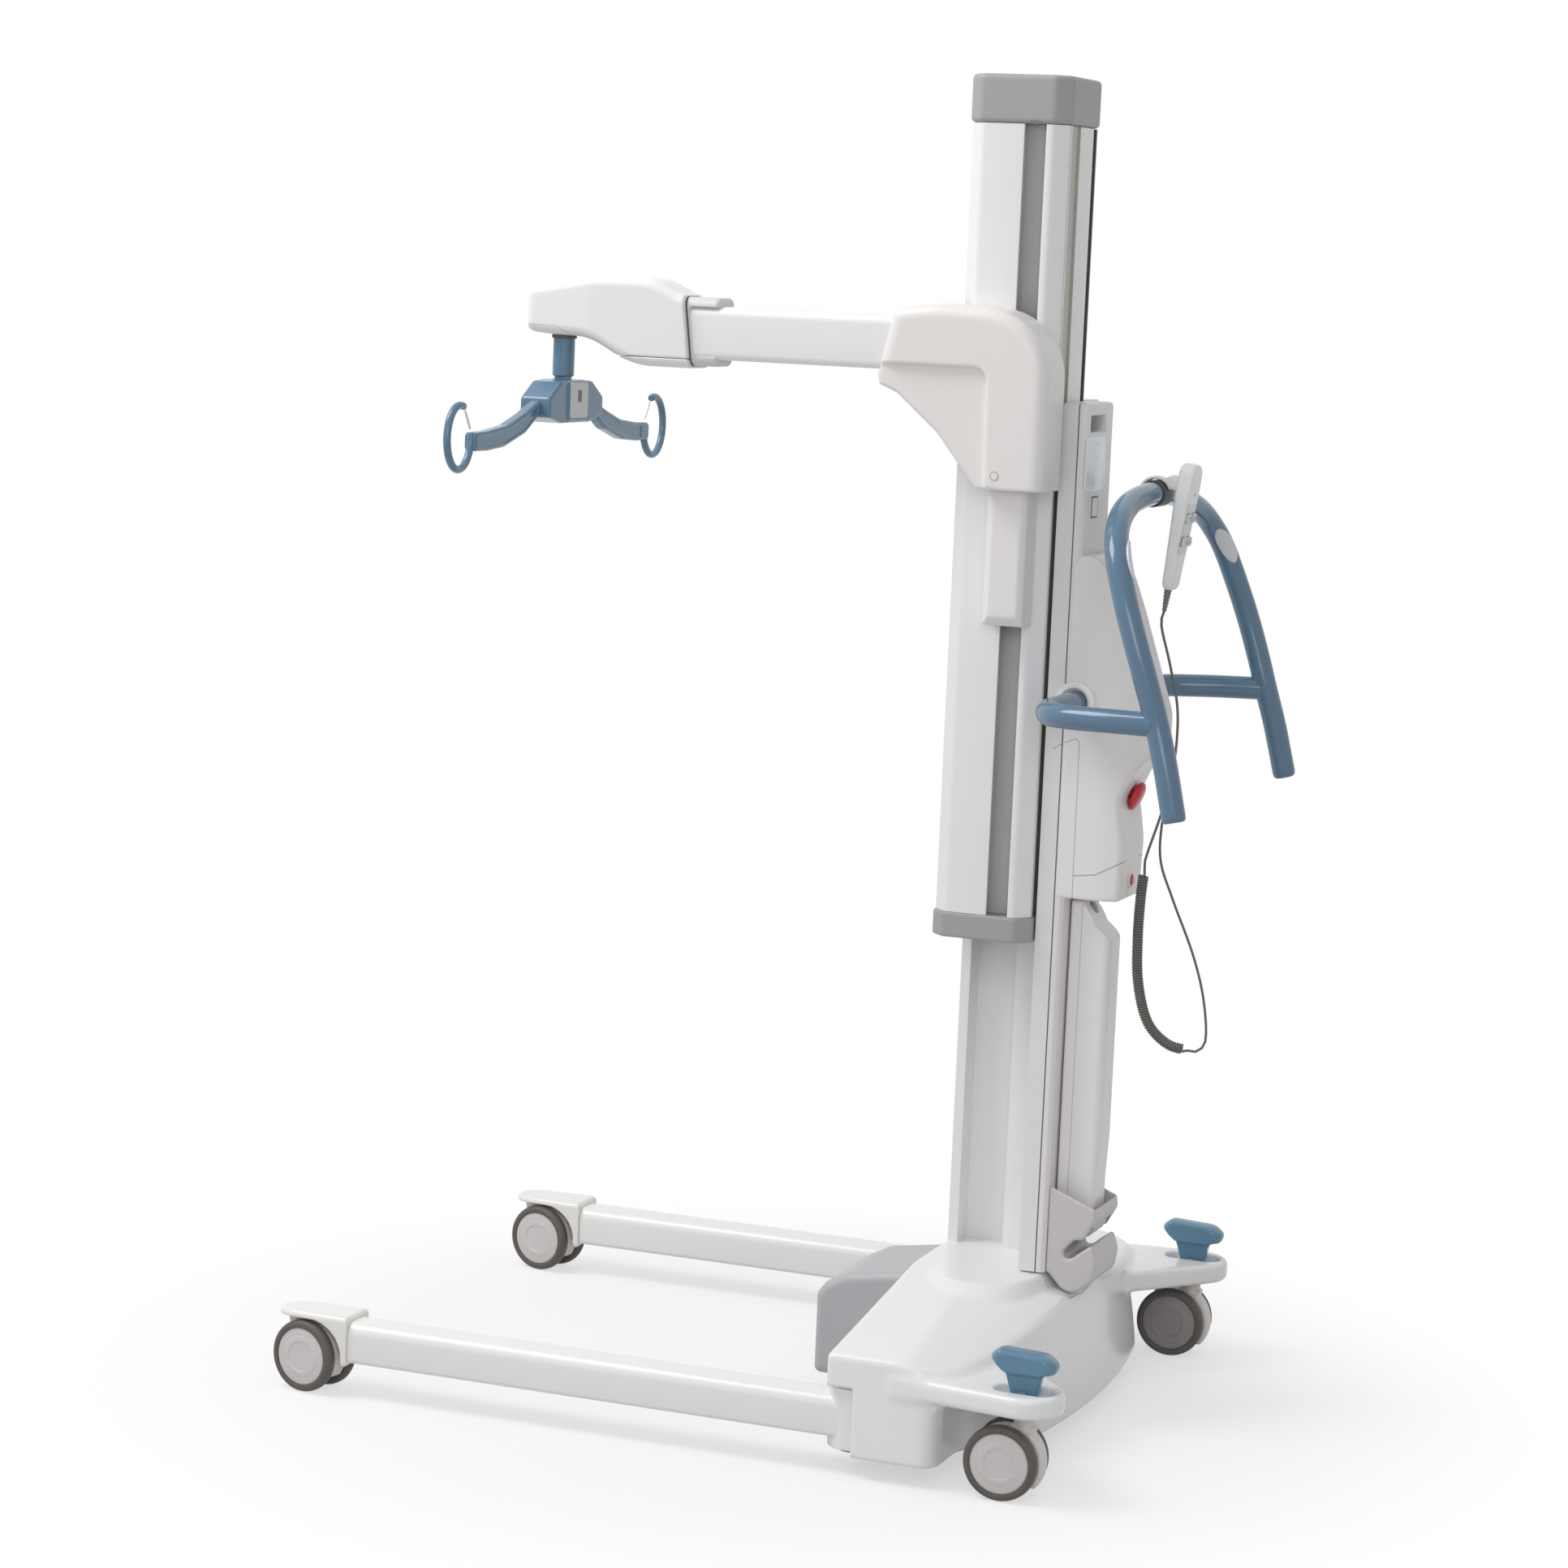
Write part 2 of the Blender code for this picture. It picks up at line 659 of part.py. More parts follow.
def make_legs():
    """Legs on their knuckles, and the end housings over the front casters."""
    for name, side in SIDES:
        hinge = (side * HINGE_X, HINGE_Y)
        middle = side * LEG_X
        half = LEG_WIDTH / 2
        section = rounded([(middle - half, LEG_BOTTOM, 0.006), (middle + half, LEG_BOTTOM, 0.006),
                           (middle + half, LEG_TOP, 0.015), (middle - half, LEG_TOP, 0.015)], steps=3)
        wall = LEG_WALL
        bore = rounded([(middle - half + wall, LEG_BOTTOM + wall, 0.004),
                        (middle + half - wall, LEG_BOTTOM + wall, 0.004),
                        (middle + half - wall, LEG_TOP - wall, 0.012), (middle - half + wall,
                                LEG_TOP - wall, 0.012)], steps=1)
        leg = prism("leg_" + name, "xz", [section, bore], LEG_END + GAP, HINGE_Y - 0.010)
        join(leg, rod("knuckle_" + name, (*hinge, KNUCKLE_BOTTOM), (*hinge, KNUCKLE_TOP), KNUCKLE_RADIUS,
                      steps=20))
        cut(leg, rod("knuckle_bore_" + name, (*hinge, 0.0), (*hinge, 0.2), HINGE_PIN_RADIUS + GAP,
                     steps=16))
        link(hinge_at(baked(leg), (*hinge, 0.0)), WHITE)

        stem = (side * LEG_X, FRONT_STEM_Y)
        reach = FRONT_HOUSING_HALF
        plan = arc(stem, reach - 0.003, 180, 360, 10) + [Vector((stem[0] + reach, -0.52)),
                Vector((stem[0] + reach, LEG_END)),
                                                        Vector((stem[0] - reach,
                                                                LEG_END)), Vector((stem[0] - reach, -0.52))]
        housing = soften(prism("leg_end_" + name, "xy", plan, LEG_BOTTOM - 0.006, FRONT_HOUSING_TOP),
                         0.005, segments=1, angle=50)
        clear = []
        for k in range(7):
            high = WHEEL_RADIUS * (1 + math.sin(math.radians(90 - 15 * k)))
            reach_y = CASTER_TRAIL + WHEEL_RADIUS * math.cos(math.radians(90 - 15 * k))
            clear.append((math.hypot(reach_y, CASTER_WIDTH / 2) + FRONT_ROOM_GAP, high + FRONT_ROOM_GAP))
        dome = [(0.0, clear[0][1])] + clear + [(clear[-1][0], -0.01), (0.0, -0.01)]
        cut(housing, turned("caster_room_" + name, dome, Matrix.Translation((*stem, 0.0)), steps=24))
        cut(housing, rod("stem_room_" + name, (*stem, 0.0),
                (*stem, 2 * WHEEL_RADIUS + RUN_GAP + STEM_LENGTH + GAP), STEM_RADIUS + GAP,
                steps=16))
        link(hinge_at(baked(housing), (*hinge, 0.0)), WHITE)


def make_caster(name, stem, seat, turn):
    """Hood with collar and stem, and the two wheels on their axle."""
    place = Matrix.Translation((*stem, 0.0)) @ Matrix.Rotation(math.radians(turn), 4, 'Z')
    axle = Vector((-CASTER_TRAIL, WHEEL_RADIUS))
    outline = arc(axle, HOOD_REACH, -38, 46, 6)
    outline += [Vector((COLLAR_RADIUS, 0.097)), Vector((-COLLAR_RADIUS + 0.002, 0.0985))]
    outline += arc(axle, WHEEL_RADIUS - 0.0035, 84, 215, 7)
    hood = prism(name + "_hood", "yz", outline, -HOOD_WIDTH / 2, HOOD_WIDTH / 2)
    join(hood, rod(name + "_collar", (0, 0, 0.092), (0, 0, seat - GAP), COLLAR_RADIUS - 0.004,
                   end_radius=COLLAR_RADIUS, steps=16))
    join(hood, rod(name + "_stem", (0, 0, 0.094), (0, 0, seat + STEM_LENGTH), STEM_RADIUS, steps=12))
    cut(hood, rod(name + "_bore", (-0.05, axle.x, axle.y), (0.05, axle.x, axle.y), AXLE_RADIUS + GAP,
                  steps=12))
    hood = baked(hood)
    hood.data.transform(place)
    link(hinge_at(hood, (*stem, seat)), WARM_WHITE)

    inner = CASTER_WIDTH / 2 - WHEEL_WIDTH
    outer = CASTER_WIDTH / 2
    ring = WHEEL_RADIUS - TYRE_THICKNESS
    dish = 0.003
    profile = [(0.0, outer - 0.0012), (ring * 0.56, outer - 0.0012), (ring * 0.60, outer - 0.0002),
               (ring, outer - dish), (WHEEL_RADIUS - 0.0035, outer), (WHEEL_RADIUS, outer - 0.0045),
               (WHEEL_RADIUS, inner + 0.003), (WHEEL_RADIUS - 0.003, inner), (0.0, inner)]
    across = place @ Matrix.Translation((0, axle.x, axle.y))
    hubs = rod(name + "_axle", (-inner - 0.006, 0, 0), (inner + 0.006, 0, 0), AXLE_RADIUS, steps=8)
    for side in (1, -1):
        lay = Matrix.Rotation(math.radians(90 * side), 4, 'Y')
        join(hubs, turned("%s_wheel_%d" % (name, side), profile, lay, WHEEL_STEPS))
    wheels = baked(hubs)
    wheels.name = name + "_wheels"
    wheels.data.transform(across)
    link(hinge_at(wheels, across.translation), TYRE)


def make_pedals():
    """Blue brake pedals over the rear casters, on the pivots of the frame."""
    for name, side in SIDES:
        x = side * PEDAL_X
        pivot = (x, REAR_STEM_Y, PEDAL_Z)
        pad = prism("pedal_" + name, "yz",
                    rounded([(0.423, 0.180, 0.006), (0.424, 0.197, 0.008), (0.470, 0.193, 0.05),
                             (0.516, 0.181, 0.006),
                             (0.514, 0.163, 0.008), (0.494, 0.163, 0.01), (0.486, 0.133, 0.004), (0.459,
                                     0.133, 0.006),
                             (0.446, 0.164, 0.01)], steps=2), x - 0.018, x + 0.018)
        soften(pad, 0.005, segments=1, angle=50)
        for flank in (1, -1):
            cheek = box("pedal_cheek_%s_%d" % (name, flank), (x + flank * PEDAL_WEB, 0.40, 0.12),
                        (x + flank * 0.03, 0.54, 0.162))
            cut(pad, cheek)
        cut(pad, rod("pedal_bore_" + name, (x - 0.03, pivot[1], pivot[2]), (x + 0.03, pivot[1], pivot[2]),
                     PEDAL_PIN_RADIUS + 2 * GAP, steps=8))
        link(hinge_at(baked(pad), pivot), BLUE)


def make_leg_actuator():
    side_view = [(COVER_FRONT - GAP, ACTUATOR_BOTTOM), (COVER_FRONT - GAP, 0.196), (0.110, 0.182, 0.03),
                 (ACTUATOR_FRONT + 0.012, ACTUATOR_TOP, 0.008),
                 (ACTUATOR_FRONT, ACTUATOR_TOP - 0.016, 0.008), (ACTUATOR_FRONT, ACTUATOR_BOTTOM, 0.010)]
    housing = soften(prism("actuator_cover", "yz", rounded(side_view, steps=3), -ACTUATOR_HALF,
                           ACTUATOR_HALF), 0.009, segments=2, angle=60)
    housing = baked(housing)
    wall = ACTUATOR_WALL
    cut(housing, box("actuator_room", (-ACTUATOR_HALF + wall + 0.004, ACTUATOR_FRONT + wall + 0.004,
                                       ACTUATOR_BOTTOM + wall),
                     (ACTUATOR_HALF - wall - 0.004, COVER_FRONT + 0.02, ACTUATOR_TOP - wall - 0.016)))
    link(baked(housing), LILAC)
    height = 0.085
    start, stop = ACTUATOR_FRONT + 0.016, HINGE_Y - BEAM_DEPTH / 2 - GAP
    motor = rod("leg_actuator", (0, start, height), (0, COVER_FRONT - 0.012, height),
                ACTUATOR_MOTOR_RADIUS, steps=20)
    join(motor, rod("actuator_nose", (0, COVER_FRONT - 0.03, height), (0, stop, height), 0.018, steps=20))
    link(baked(motor), STEEL)


def lift_screw_place():
    """Middle of the fixed mast's rear chamber."""
    return ((FIXED_LEFT + MAST_LEFT - SLIDE_GAP) / 2, (RECESS_REAR + MAST_REAR) / 2)


def make_fixed_mast():
    face = MAST_LEFT - SLIDE_GAP
    floor = face - RECESS_DEPTH
    outline = rounded([(FIXED_LEFT, FIXED_FRONT, 0.006), (face, FIXED_FRONT, 0.001), (face, RECESS_FRONT),
                       (floor, RECESS_FRONT),
                       (floor, RECESS_REAR), (face, RECESS_REAR), (face, MAST_REAR, 0.001), (FIXED_LEFT,
                               MAST_REAR, 0.006)], steps=2)
    chamber = rounded([(FIXED_LEFT + 0.008, RECESS_REAR + 0.008, 0.004),
                       (face - 0.008, RECESS_REAR + 0.008, 0.004),
                       (face - 0.008, MAST_REAR - 0.008, 0.004), (FIXED_LEFT + 0.008, MAST_REAR - 0.008,
                               0.004)], steps=2)
    web = rounded([(FIXED_LEFT + MAST_WALL, RECESS_FRONT + 0.002, 0.004),
                   (floor - MAST_WALL, RECESS_FRONT + 0.002, 0.004),
                   (floor - MAST_WALL, RECESS_REAR - 0.002, 0.004), (FIXED_LEFT + MAST_WALL,
                           RECESS_REAR - 0.002, 0.004)], steps=1)
    bottom = PLATE_BOTTOM + PLATE_THICKNESS + GAP
    link(prism("fixed_mast", "xy", [outline, chamber, web], bottom, FIXED_TOP), WARM_WHITE)
    middle = lift_screw_place()
    actuator = rod("lift_actuator", (*middle, BEAM_BOTTOM), (*middle, PLATE_BOTTOM - GAP),
                   LIFT_MOTOR_RADIUS, steps=20)
    join(actuator, rod("lift_screw", (*middle, PLATE_BOTTOM - 0.01), (*middle, FIXED_TOP - 0.01),
                       LIFT_SCREW_RADIUS, steps=16))
    link(baked(actuator), STEEL)


def mast_outline(lip, flush, grooved):
    """Plan of the moving mast; lip makes it prouder on the three outer sides."""
    right, front, rear = MAST_RIGHT + lip, MAST_FRONT - lip, MAST_REAR + lip
    c = MAST_CHAMFER
    mouth = SLOT_MOUTH / 2
    inside = SLOT_WIDTH / 2
    points = [(MAST_LEFT, front + flush, 0.002), (MAST_LEFT + flush, front, 0.002),
              (right - c, front, 0.012), (right, front + c, 0.012)]
    if grooved:
        points += [(right, SLOT_MIDDLE - mouth), (right - SLOT_LIP, SLOT_MIDDLE - mouth),
                   (right - SLOT_LIP, SLOT_MIDDLE - inside),
                   (right - SLOT_DEPTH, SLOT_MIDDLE - inside), (right - SLOT_DEPTH, SLOT_MIDDLE + inside),
                   (right - SLOT_LIP, SLOT_MIDDLE + inside), (right - SLOT_LIP,
                           SLOT_MIDDLE + mouth), (right, SLOT_MIDDLE + mouth)]
    points += [(right, rear - c, 0.012), (right - c, rear, 0.012)]
    if grooved:
        points += [(0.060, rear), (0.060, rear - 0.003), (0.010, rear - 0.003), (0.010, rear),
                   (-0.034, rear), (-0.034, rear - 0.006), (-0.050, rear - 0.006), (-0.050, rear)]
    points += [(MAST_LEFT, rear, 0.001)]
    return rounded(points, steps=2)


def make_moving_mast():
    origin = (MAST_LEFT, SLOT_MIDDLE, MAST_BOTTOM)
    wall = MAST_WALL
    floor = MAST_RIGHT - SLOT_DEPTH - wall
    front, rear = MAST_FRONT + wall, MAST_REAR - 0.006 - wall
    c = MAST_CHAMFER + wall
    chamber = [(MAST_LEFT + wall, front + 0.008), (MAST_LEFT + c, front), (MAST_RIGHT - c, front),
               (MAST_RIGHT - wall, MAST_FRONT + c), (MAST_RIGHT - wall,
                                                     SLOT_MIDDLE - SLOT_WIDTH / 2 - wall),
               (floor, SLOT_MIDDLE - SLOT_WIDTH / 2 - wall), (floor, rear), (MAST_LEFT + wall, rear)]
    mast = prism("moving_mast", "xy", [mast_outline(0.0, 0.010, True), [Vector(p) for p in chamber]],
                 MAST_BOTTOM, MAST_TOP)
    link(hinge_at(mast, origin), WHITE)
    top = prism("mast_top_cap", "xy", mast_outline(CAP_LIP, 0.010, False), MAST_TOP + GAP,
                MAST_TOP + TOP_CAP_HEIGHT)
    soften(top, 0.004, segments=1, angle=60)
    cut(top, rod("cap_notch", (MAST_RIGHT - 0.004, SLOT_MIDDLE, MAST_TOP - 0.011),
                 (MAST_RIGHT + 0.02, SLOT_MIDDLE, MAST_TOP - 0.011),
                 SLOT_MOUTH / 2, steps=16))
    bottom = prism("mast_bottom_cap", "xy", mast_outline(CAP_LIP, 0.010, False),
                   MAST_BOTTOM - BOTTOM_CAP_HEIGHT, MAST_BOTTOM - GAP)
    soften(bottom, 0.003, segments=1, angle=60)
    link(hinge_at(baked(top), origin), CAP_GREY)
    link(hinge_at(baked(bottom), origin), CAP_GREY)
    margin = 0.0025
    key = box("mast_key", (MAST_LEFT - SLIDE_GAP - RECESS_DEPTH + margin, RECESS_FRONT + margin,
                           KEY_BOTTOM),
              (MAST_LEFT - GAP, RECESS_REAR - margin, KEY_TOP))
    link(hinge_at(baked(soften(key, 0.002, 1)), origin), DARK)


def make_carriage():
    origin = (MAST_RIGHT, SLOT_MIDDLE, BOX_BOTTOM)
    back = MAST_RIGHT + SLIDE_GAP
    inside = SLOT_WIDTH / 2 - 0.001
    neck = SLOT_MOUTH / 2 - 0.0012
    shoe = [(MAST_RIGHT - SLOT_DEPTH + 0.001, SLOT_MIDDLE - inside),
            (MAST_RIGHT - SLOT_LIP - 0.0008, SLOT_MIDDLE - inside),
            (MAST_RIGHT - SLOT_LIP - 0.0008, SLOT_MIDDLE - neck), (back - GAP, SLOT_MIDDLE - neck),
            (back - GAP, SLOT_MIDDLE + neck), (MAST_RIGHT - SLOT_LIP - 0.0008, SLOT_MIDDLE + neck),
            (MAST_RIGHT - SLOT_LIP - 0.0008, SLOT_MIDDLE + inside), (MAST_RIGHT - SLOT_DEPTH + 0.001,
                    SLOT_MIDDLE + inside)]
    link(hinge_at(prism("carriage_slider", "xy", shoe, BOX_BOTTOM + 0.03, BOOM_TOP - 0.006), origin), DARK)

    side_view = [(0.1185, 1.428, 0.006), (0.139, 1.517, 0.012), (0.197, 1.526, 0.10),
                 (0.300, 1.516, 0.05), (0.358, 1.460, 0.055),
                 (0.358, ELBOW_BOTTOM, 0.004), (0.262, ELBOW_BOTTOM, 0.004), (0.205, 1.354, 0.08), (0.146,
                         1.404, 0.02), (0.121, 1.414, 0.004)]
    elbow = prism("elbow_cover", "yz", rounded(side_view, steps=4), back, ELBOW_RIGHT)
    soften(elbow, 0.012, segments=2, angle=50)
    elbow = baked(elbow)
    for vertex in elbow.data.vertices:
        vertex.co.x = max(vertex.co.x, back)
    web = rounded([(0.10, 1.427), (0.219, 1.427, 0.03), (0.262, 1.384, 0.03), (0.262, 1.27),
                   (0.10, 1.27)], steps=4)
    cut(elbow, prism("web_recess", "yz", web, ELBOW_RIGHT - WEB_DEPTH, ELBOW_RIGHT + 0.01))
    half = BOOM_WIDTH / 2
    cut(elbow, prism("boom_socket", "xz", boom_section(GAP), 0.08, BOOM_ROOT + GAP))
    link(hinge_at(baked(elbow), origin), WHITE)

    lower = rounded([(back, 0.270), (BOX_RIGHT, 0.270, 0.010), (BOX_RIGHT, 0.328, 0.010), (back, 0.328)],
                    steps=3)
    case = prism("carriage_box", "xy", lower, BOX_BOTTOM, ELBOW_BOTTOM - GAP)
    slope = prism("box_slope", "xz",
                  [(BOX_RIGHT - 0.012, BOX_BOTTOM - 0.001), (BOX_RIGHT + 0.001, BOX_BOTTOM - 0.001),
                                      (BOX_RIGHT + 0.001, BOX_BOTTOM + 0.012)], 0.25, 0.35)
    cut(case, slope)
    link(hinge_at(baked(case), origin), WHITE)

    boom = prism("boom_tube", "xz", [boom_section(0.0), boom_section(-BOOM_WALL, 1)], BOOM_END, BOOM_ROOT)
    link(hinge_at(boom, origin), WHITE)

    sleeve_outer = rounded([(BOOM_X - half - 0.012, 1.424, 0.014), (BOOM_X + half + 0.012, 1.424, 0.014),
                            (BOOM_X + half + 0.012, 1.518, 0.016), (BOOM_X - half - 0.012, 1.518,
                                    0.016)], steps=2)
    sleeve = prism("boom_sleeve", "xz", [sleeve_outer, boom_section(GAP)], -0.1495, -0.122)
    link(hinge_at(soften(sleeve, 0.0015, 1, angle=60), origin), LIGHT_GREY)
    return origin


def boom_section(clear, steps=3):
    """Outline of the boom in X and z, larger by clear."""
    half = BOOM_WIDTH / 2 + clear
    low, high = BOOM_BOTTOM - clear, BOOM_TOP + clear
    return rounded([(BOOM_X - half, low, 0.010), (BOOM_X + half, low, 0.010),
                    (BOOM_X + half, high, 0.014), (BOOM_X - half, high, 0.014)], steps=steps)


def make_jib_head(origin):
    """Two shells clamped round the boom; the upper one carries the hanger."""
    view = [(-0.404, 1.461, 0.008), (-0.404, 1.521, 0.012), (-0.293, 1.541, 0.10), (-0.210, 1.541, 0.08),
            (-0.168, 1.517, 0.03),
            (-0.150, 1.517), (-0.150, 1.421), (-0.232, 1.421, 0.05), (-0.300, 1.456, 0.05), (-0.360,
                    1.4575, 0.02)]
    half = HEAD_WIDTH / 2
    plan = rounded([(BOOM_X - half, -0.150), (BOOM_X + half, -0.150), (BOOM_X + half, -0.300, 0.08),
                    (BOOM_X + half - 0.010, -0.404, 0.018),
                    (BOOM_X - half + 0.010, -0.404, 0.018), (BOOM_X - half, -0.300, 0.08)], steps=4)
    for name, low, high, finish in (("jib_head", BOOM_BOTTOM - GAP, 1.60, WHITE),
                                    ("jib_head_lower", 1.40, BOOM_BOTTOM - 2 * GAP, WARM_WHITE)):
        head = prism(name, "yz", rounded(view, steps=3), BOOM_X - half, BOOM_X + half)
        head = baked(soften(head, 0.011, segments=2, angle=60))
        shape(head, prism(name + "_plan", "xy", plan, low, high), 'INTERSECT')
        if name == "jib_head":
            cut(head, prism("boom_room", "xz", boom_section(GAP), BOOM_END - GAP, 0.0))
            cut(head, rod("pivot_room", (BOOM_X, HANGER_Y, 1.40), (BOOM_X, HANGER_Y, 1.495 + GAP),
                          0.0075 + GAP, steps=16))
        link(hinge_at(baked(head), origin), finish)


def make_spreader():
    pivot = (BOOM_X, HANGER_Y, POST_TOP)
    post = rod("hanger_post", (BOOM_X, HANGER_Y, POST_BOTTOM), (BOOM_X, HANGER_Y, POST_TOP), POST_RADIUS,
               steps=16)
    join(post, rod("pivot_pin", (BOOM_X, HANGER_Y, POST_TOP - 0.01), (BOOM_X, HANGER_Y, 1.495), 0.0075,
                   steps=16))
    tongue = prism("tongue", "xz",
                   rounded([(BOOM_X - TONGUE_WIDTH / 2, TILT_Z - 0.012, 0.0115),
                            (BOOM_X + TONGUE_WIDTH / 2, TILT_Z - 0.012, 0.0115),
                                            (BOOM_X + TONGUE_WIDTH / 2,
                                             POST_BOTTOM + 0.01), (BOOM_X - TONGUE_WIDTH / 2,
                                                    POST_BOTTOM + 0.01)], steps=5),
                   HANGER_Y - TONGUE_THICK / 2, HANGER_Y + TONGUE_THICK / 2)
    join(post, tongue)
    cut(post, rod("tilt_bore", (BOOM_X, HANGER_Y - 0.03, TILT_Z), (BOOM_X, HANGER_Y + 0.03, TILT_Z),
                  0.0043, steps=12))
    link(hinge_at(baked(post), pivot), BLUE)

    tilt = (BOOM_X, HANGER_Y, TILT_Z)
    low, high, half = BLOCK_BOTTOM, BLOCK_TOP, BLOCK_HALF_DEPTH
    face = rounded([(BOOM_X - BLOCK_HALF, low + 0.006, 0.004), (BOOM_X - 0.045, low - 0.003, 0.02),
                    (BOOM_X + 0.045, low - 0.003, 0.02), (BOOM_X + BLOCK_HALF, low + 0.006, 0.004),
                    (BOOM_X + BLOCK_HALF, high - 0.024, 0.006), (BOOM_X + 0.052, high - 0.002,
                            0.012), (BOOM_X + 0.022, high, 0.004),
                    (BOOM_X - 0.022, high, 0.004), (BOOM_X - 0.052, high - 0.002,
                                                    0.012), (BOOM_X - BLOCK_HALF, high - 0.024,
                            0.006)], steps=3)
    block = prism("spreader_block", "xz", face, HANGER_Y - half, HANGER_Y + half)
    block = baked(soften(block, 0.005, segments=1, angle=60))
    cut(block, box("tongue_slot", (BOOM_X - 0.0195, HANGER_Y - TONGUE_THICK / 2 - 0.001, low + 0.008),
                   (BOOM_X + 0.0195, HANGER_Y + TONGUE_THICK / 2 + 0.001, high + 0.01)))
    cut(block, rod("tilt_seat", (BOOM_X, HANGER_Y - 0.04, TILT_Z), (BOOM_X, HANGER_Y + 0.04, TILT_Z),
                   0.0043, steps=12))
    for flank in (1, -1):
        edge = HANGER_Y + flank * half
        plate_cut = box("clip_seat_%d" % flank, (BOOM_X - 0.021, edge - 0.0015, high - 0.048),
                        (BOOM_X + 0.021, edge + 0.0015, high - 0.004))
        cut(block, plate_cut)
    for name, side in SIDES:
        root = BOOM_X + side * BLOCK_HALF
        socket = box("arm_socket_" + name, (root - 0.020, HANGER_Y - 0.0093, 1.3477),
                     (root + 0.020, HANGER_Y + 0.0093, 1.3683))
        cut(block, socket)
    link(hinge_at(baked(block), tilt), BLUE)
    clip = rod("spreader_pin", (BOOM_X, HANGER_Y - half + 0.0005, TILT_Z),
               (BOOM_X, HANGER_Y + half - 0.0005, TILT_Z), 0.004, steps=12)
    for flank in (1, -1):
        edge = HANGER_Y + flank * half
        low_y, high_y = sorted((edge - flank * (0.0015 - GAP), edge + flank * 0.0015))
        plate = prism("spreader_clip_%d" % flank, "xz",
                      rounded([(BOOM_X - 0.0205, high - 0.0475, 0.004),
                               (BOOM_X + 0.0205, high - 0.0475, 0.004),
                                                              (BOOM_X + 0.0205, high - 0.0045,
                                                                      0.004), (BOOM_X - 0.0205,
                              high - 0.0045, 0.004)], steps=3), low_y,
                              high_y)
        join(clip, plate)
    link(hinge_at(baked(clip), tilt), LIGHT_GREY)

    for name, side in SIDES:
        root = side * BLOCK_HALF
        outline = rounded([(root - side * 0.0195, 1.348), (root, 1.348), (side * 0.135, 1.3245, 0.03),
                           (side * 0.200, 1.308, 0.06), (side * 0.250, 1.3045, 0.05), (side * 0.292,
                1.3050),
                           (side * 0.292, 1.3300), (side * 0.250, 1.3310, 0.05), (side * 0.190, 1.3370,
                                   0.06), (side * 0.135, 1.3520, 0.03), (root,
                                   1.368), (root - side * 0.0195, 1.368)], steps=3)
        outline = [Vector((BOOM_X + p.x, p.y)) for p in outline]
        arm = prism("spreader_arm_" + name, "xz", outline, HANGER_Y - 0.009, HANGER_Y + 0.009)
        arm = baked(soften(arm, 0.0035, segments=1, angle=60))
        loop_x = BOOM_X + side * LOOP_X
        loop = []
        for k in range(15):
            angle = math.radians(172 + 298 * k / 14)
            loop.append((loop_x + side * LOOP_HALF_WIDTH * math.cos(angle), HANGER_Y,
                         LOOP_Z + LOOP_HALF_HEIGHT * math.sin(angle)))
        join(arm, tube("loop_" + name, loop, LOOP_WIRE, resolution=2))
        link(hinge_at(baked(arm), tilt), BLUE)

        heel = Vector(loop[0])
        toe = Vector(loop[-1])
        along = (toe - heel).normalized()
        start = heel + along * 0.0007
        length = (toe - start).length - LOOP_WIRE - GAP
        gate = turned("gate_" + name, [(0.0, 0.0), (0.0006, 0.0), (GATE_WIRE, 0.004), (GATE_WIRE, length),
                                       (0.0, length)],
                      turned_along(along, start), 8)
        link(hinge_at(gate, start), STEEL)


def make_column():
    half, c = COLUMN_HALF, COLUMN_CHAMFER
    outline = [(-half, COLUMN_FRONT), (half, COLUMN_FRONT), (half, COLUMN_REAR - c),
               (half - c, COLUMN_REAR), (-half + c, COLUMN_REAR), (-half, COLUMN_REAR - c)]
    column = prism("control_column", "xy", [Vector(p) for p in outline], ROOF_MIDDLE + GAP, COLUMN_TOP)
    for name, side in SIDES:
        edge = side * half
        cut(column, box("column_groove_" + name, (edge - COLUMN_GROOVE, COLUMN_JOINT, 0.1),
                        (edge + COLUMN_GROOVE, COLUMN_JOINT + COLUMN_GROOVE, COLUMN_TOP + 0.1)))
    cut(column, box("front_setback", (-0.1, COLUMN_FRONT - 0.01, 1.303),
                    (0.1, COLUMN_FRONT + 0.006, COLUMN_TOP + 0.01)))
    link(baked(column_with_feet(column)), WARM_WHITE)


def column_with_feet(column):
    """Two angle brackets hold the column to the rear of the fixed mast."""
    half = COLUMN_HALF
    for low in (1.22, 0.50):
        seat = MAST_REAR + GAP
        angle = [(FIXED_LEFT + 0.005, seat), (-half - 0.001, seat), (-half - 0.001, COLUMN_FRONT + 0.001),
                 (-half + 0.002, COLUMN_FRONT + 0.001), (-half + 0.002, 0.366), (-half - 0.004, 0.366),
                 (-half - 0.004, seat + 0.004), (FIXED_LEFT + 0.005, seat + 0.004)]
        join(column, prism("column_bracket_%d" % (low * 100), "xy", [Vector(p) for p in angle], low,
                           low + 0.08))
    return column


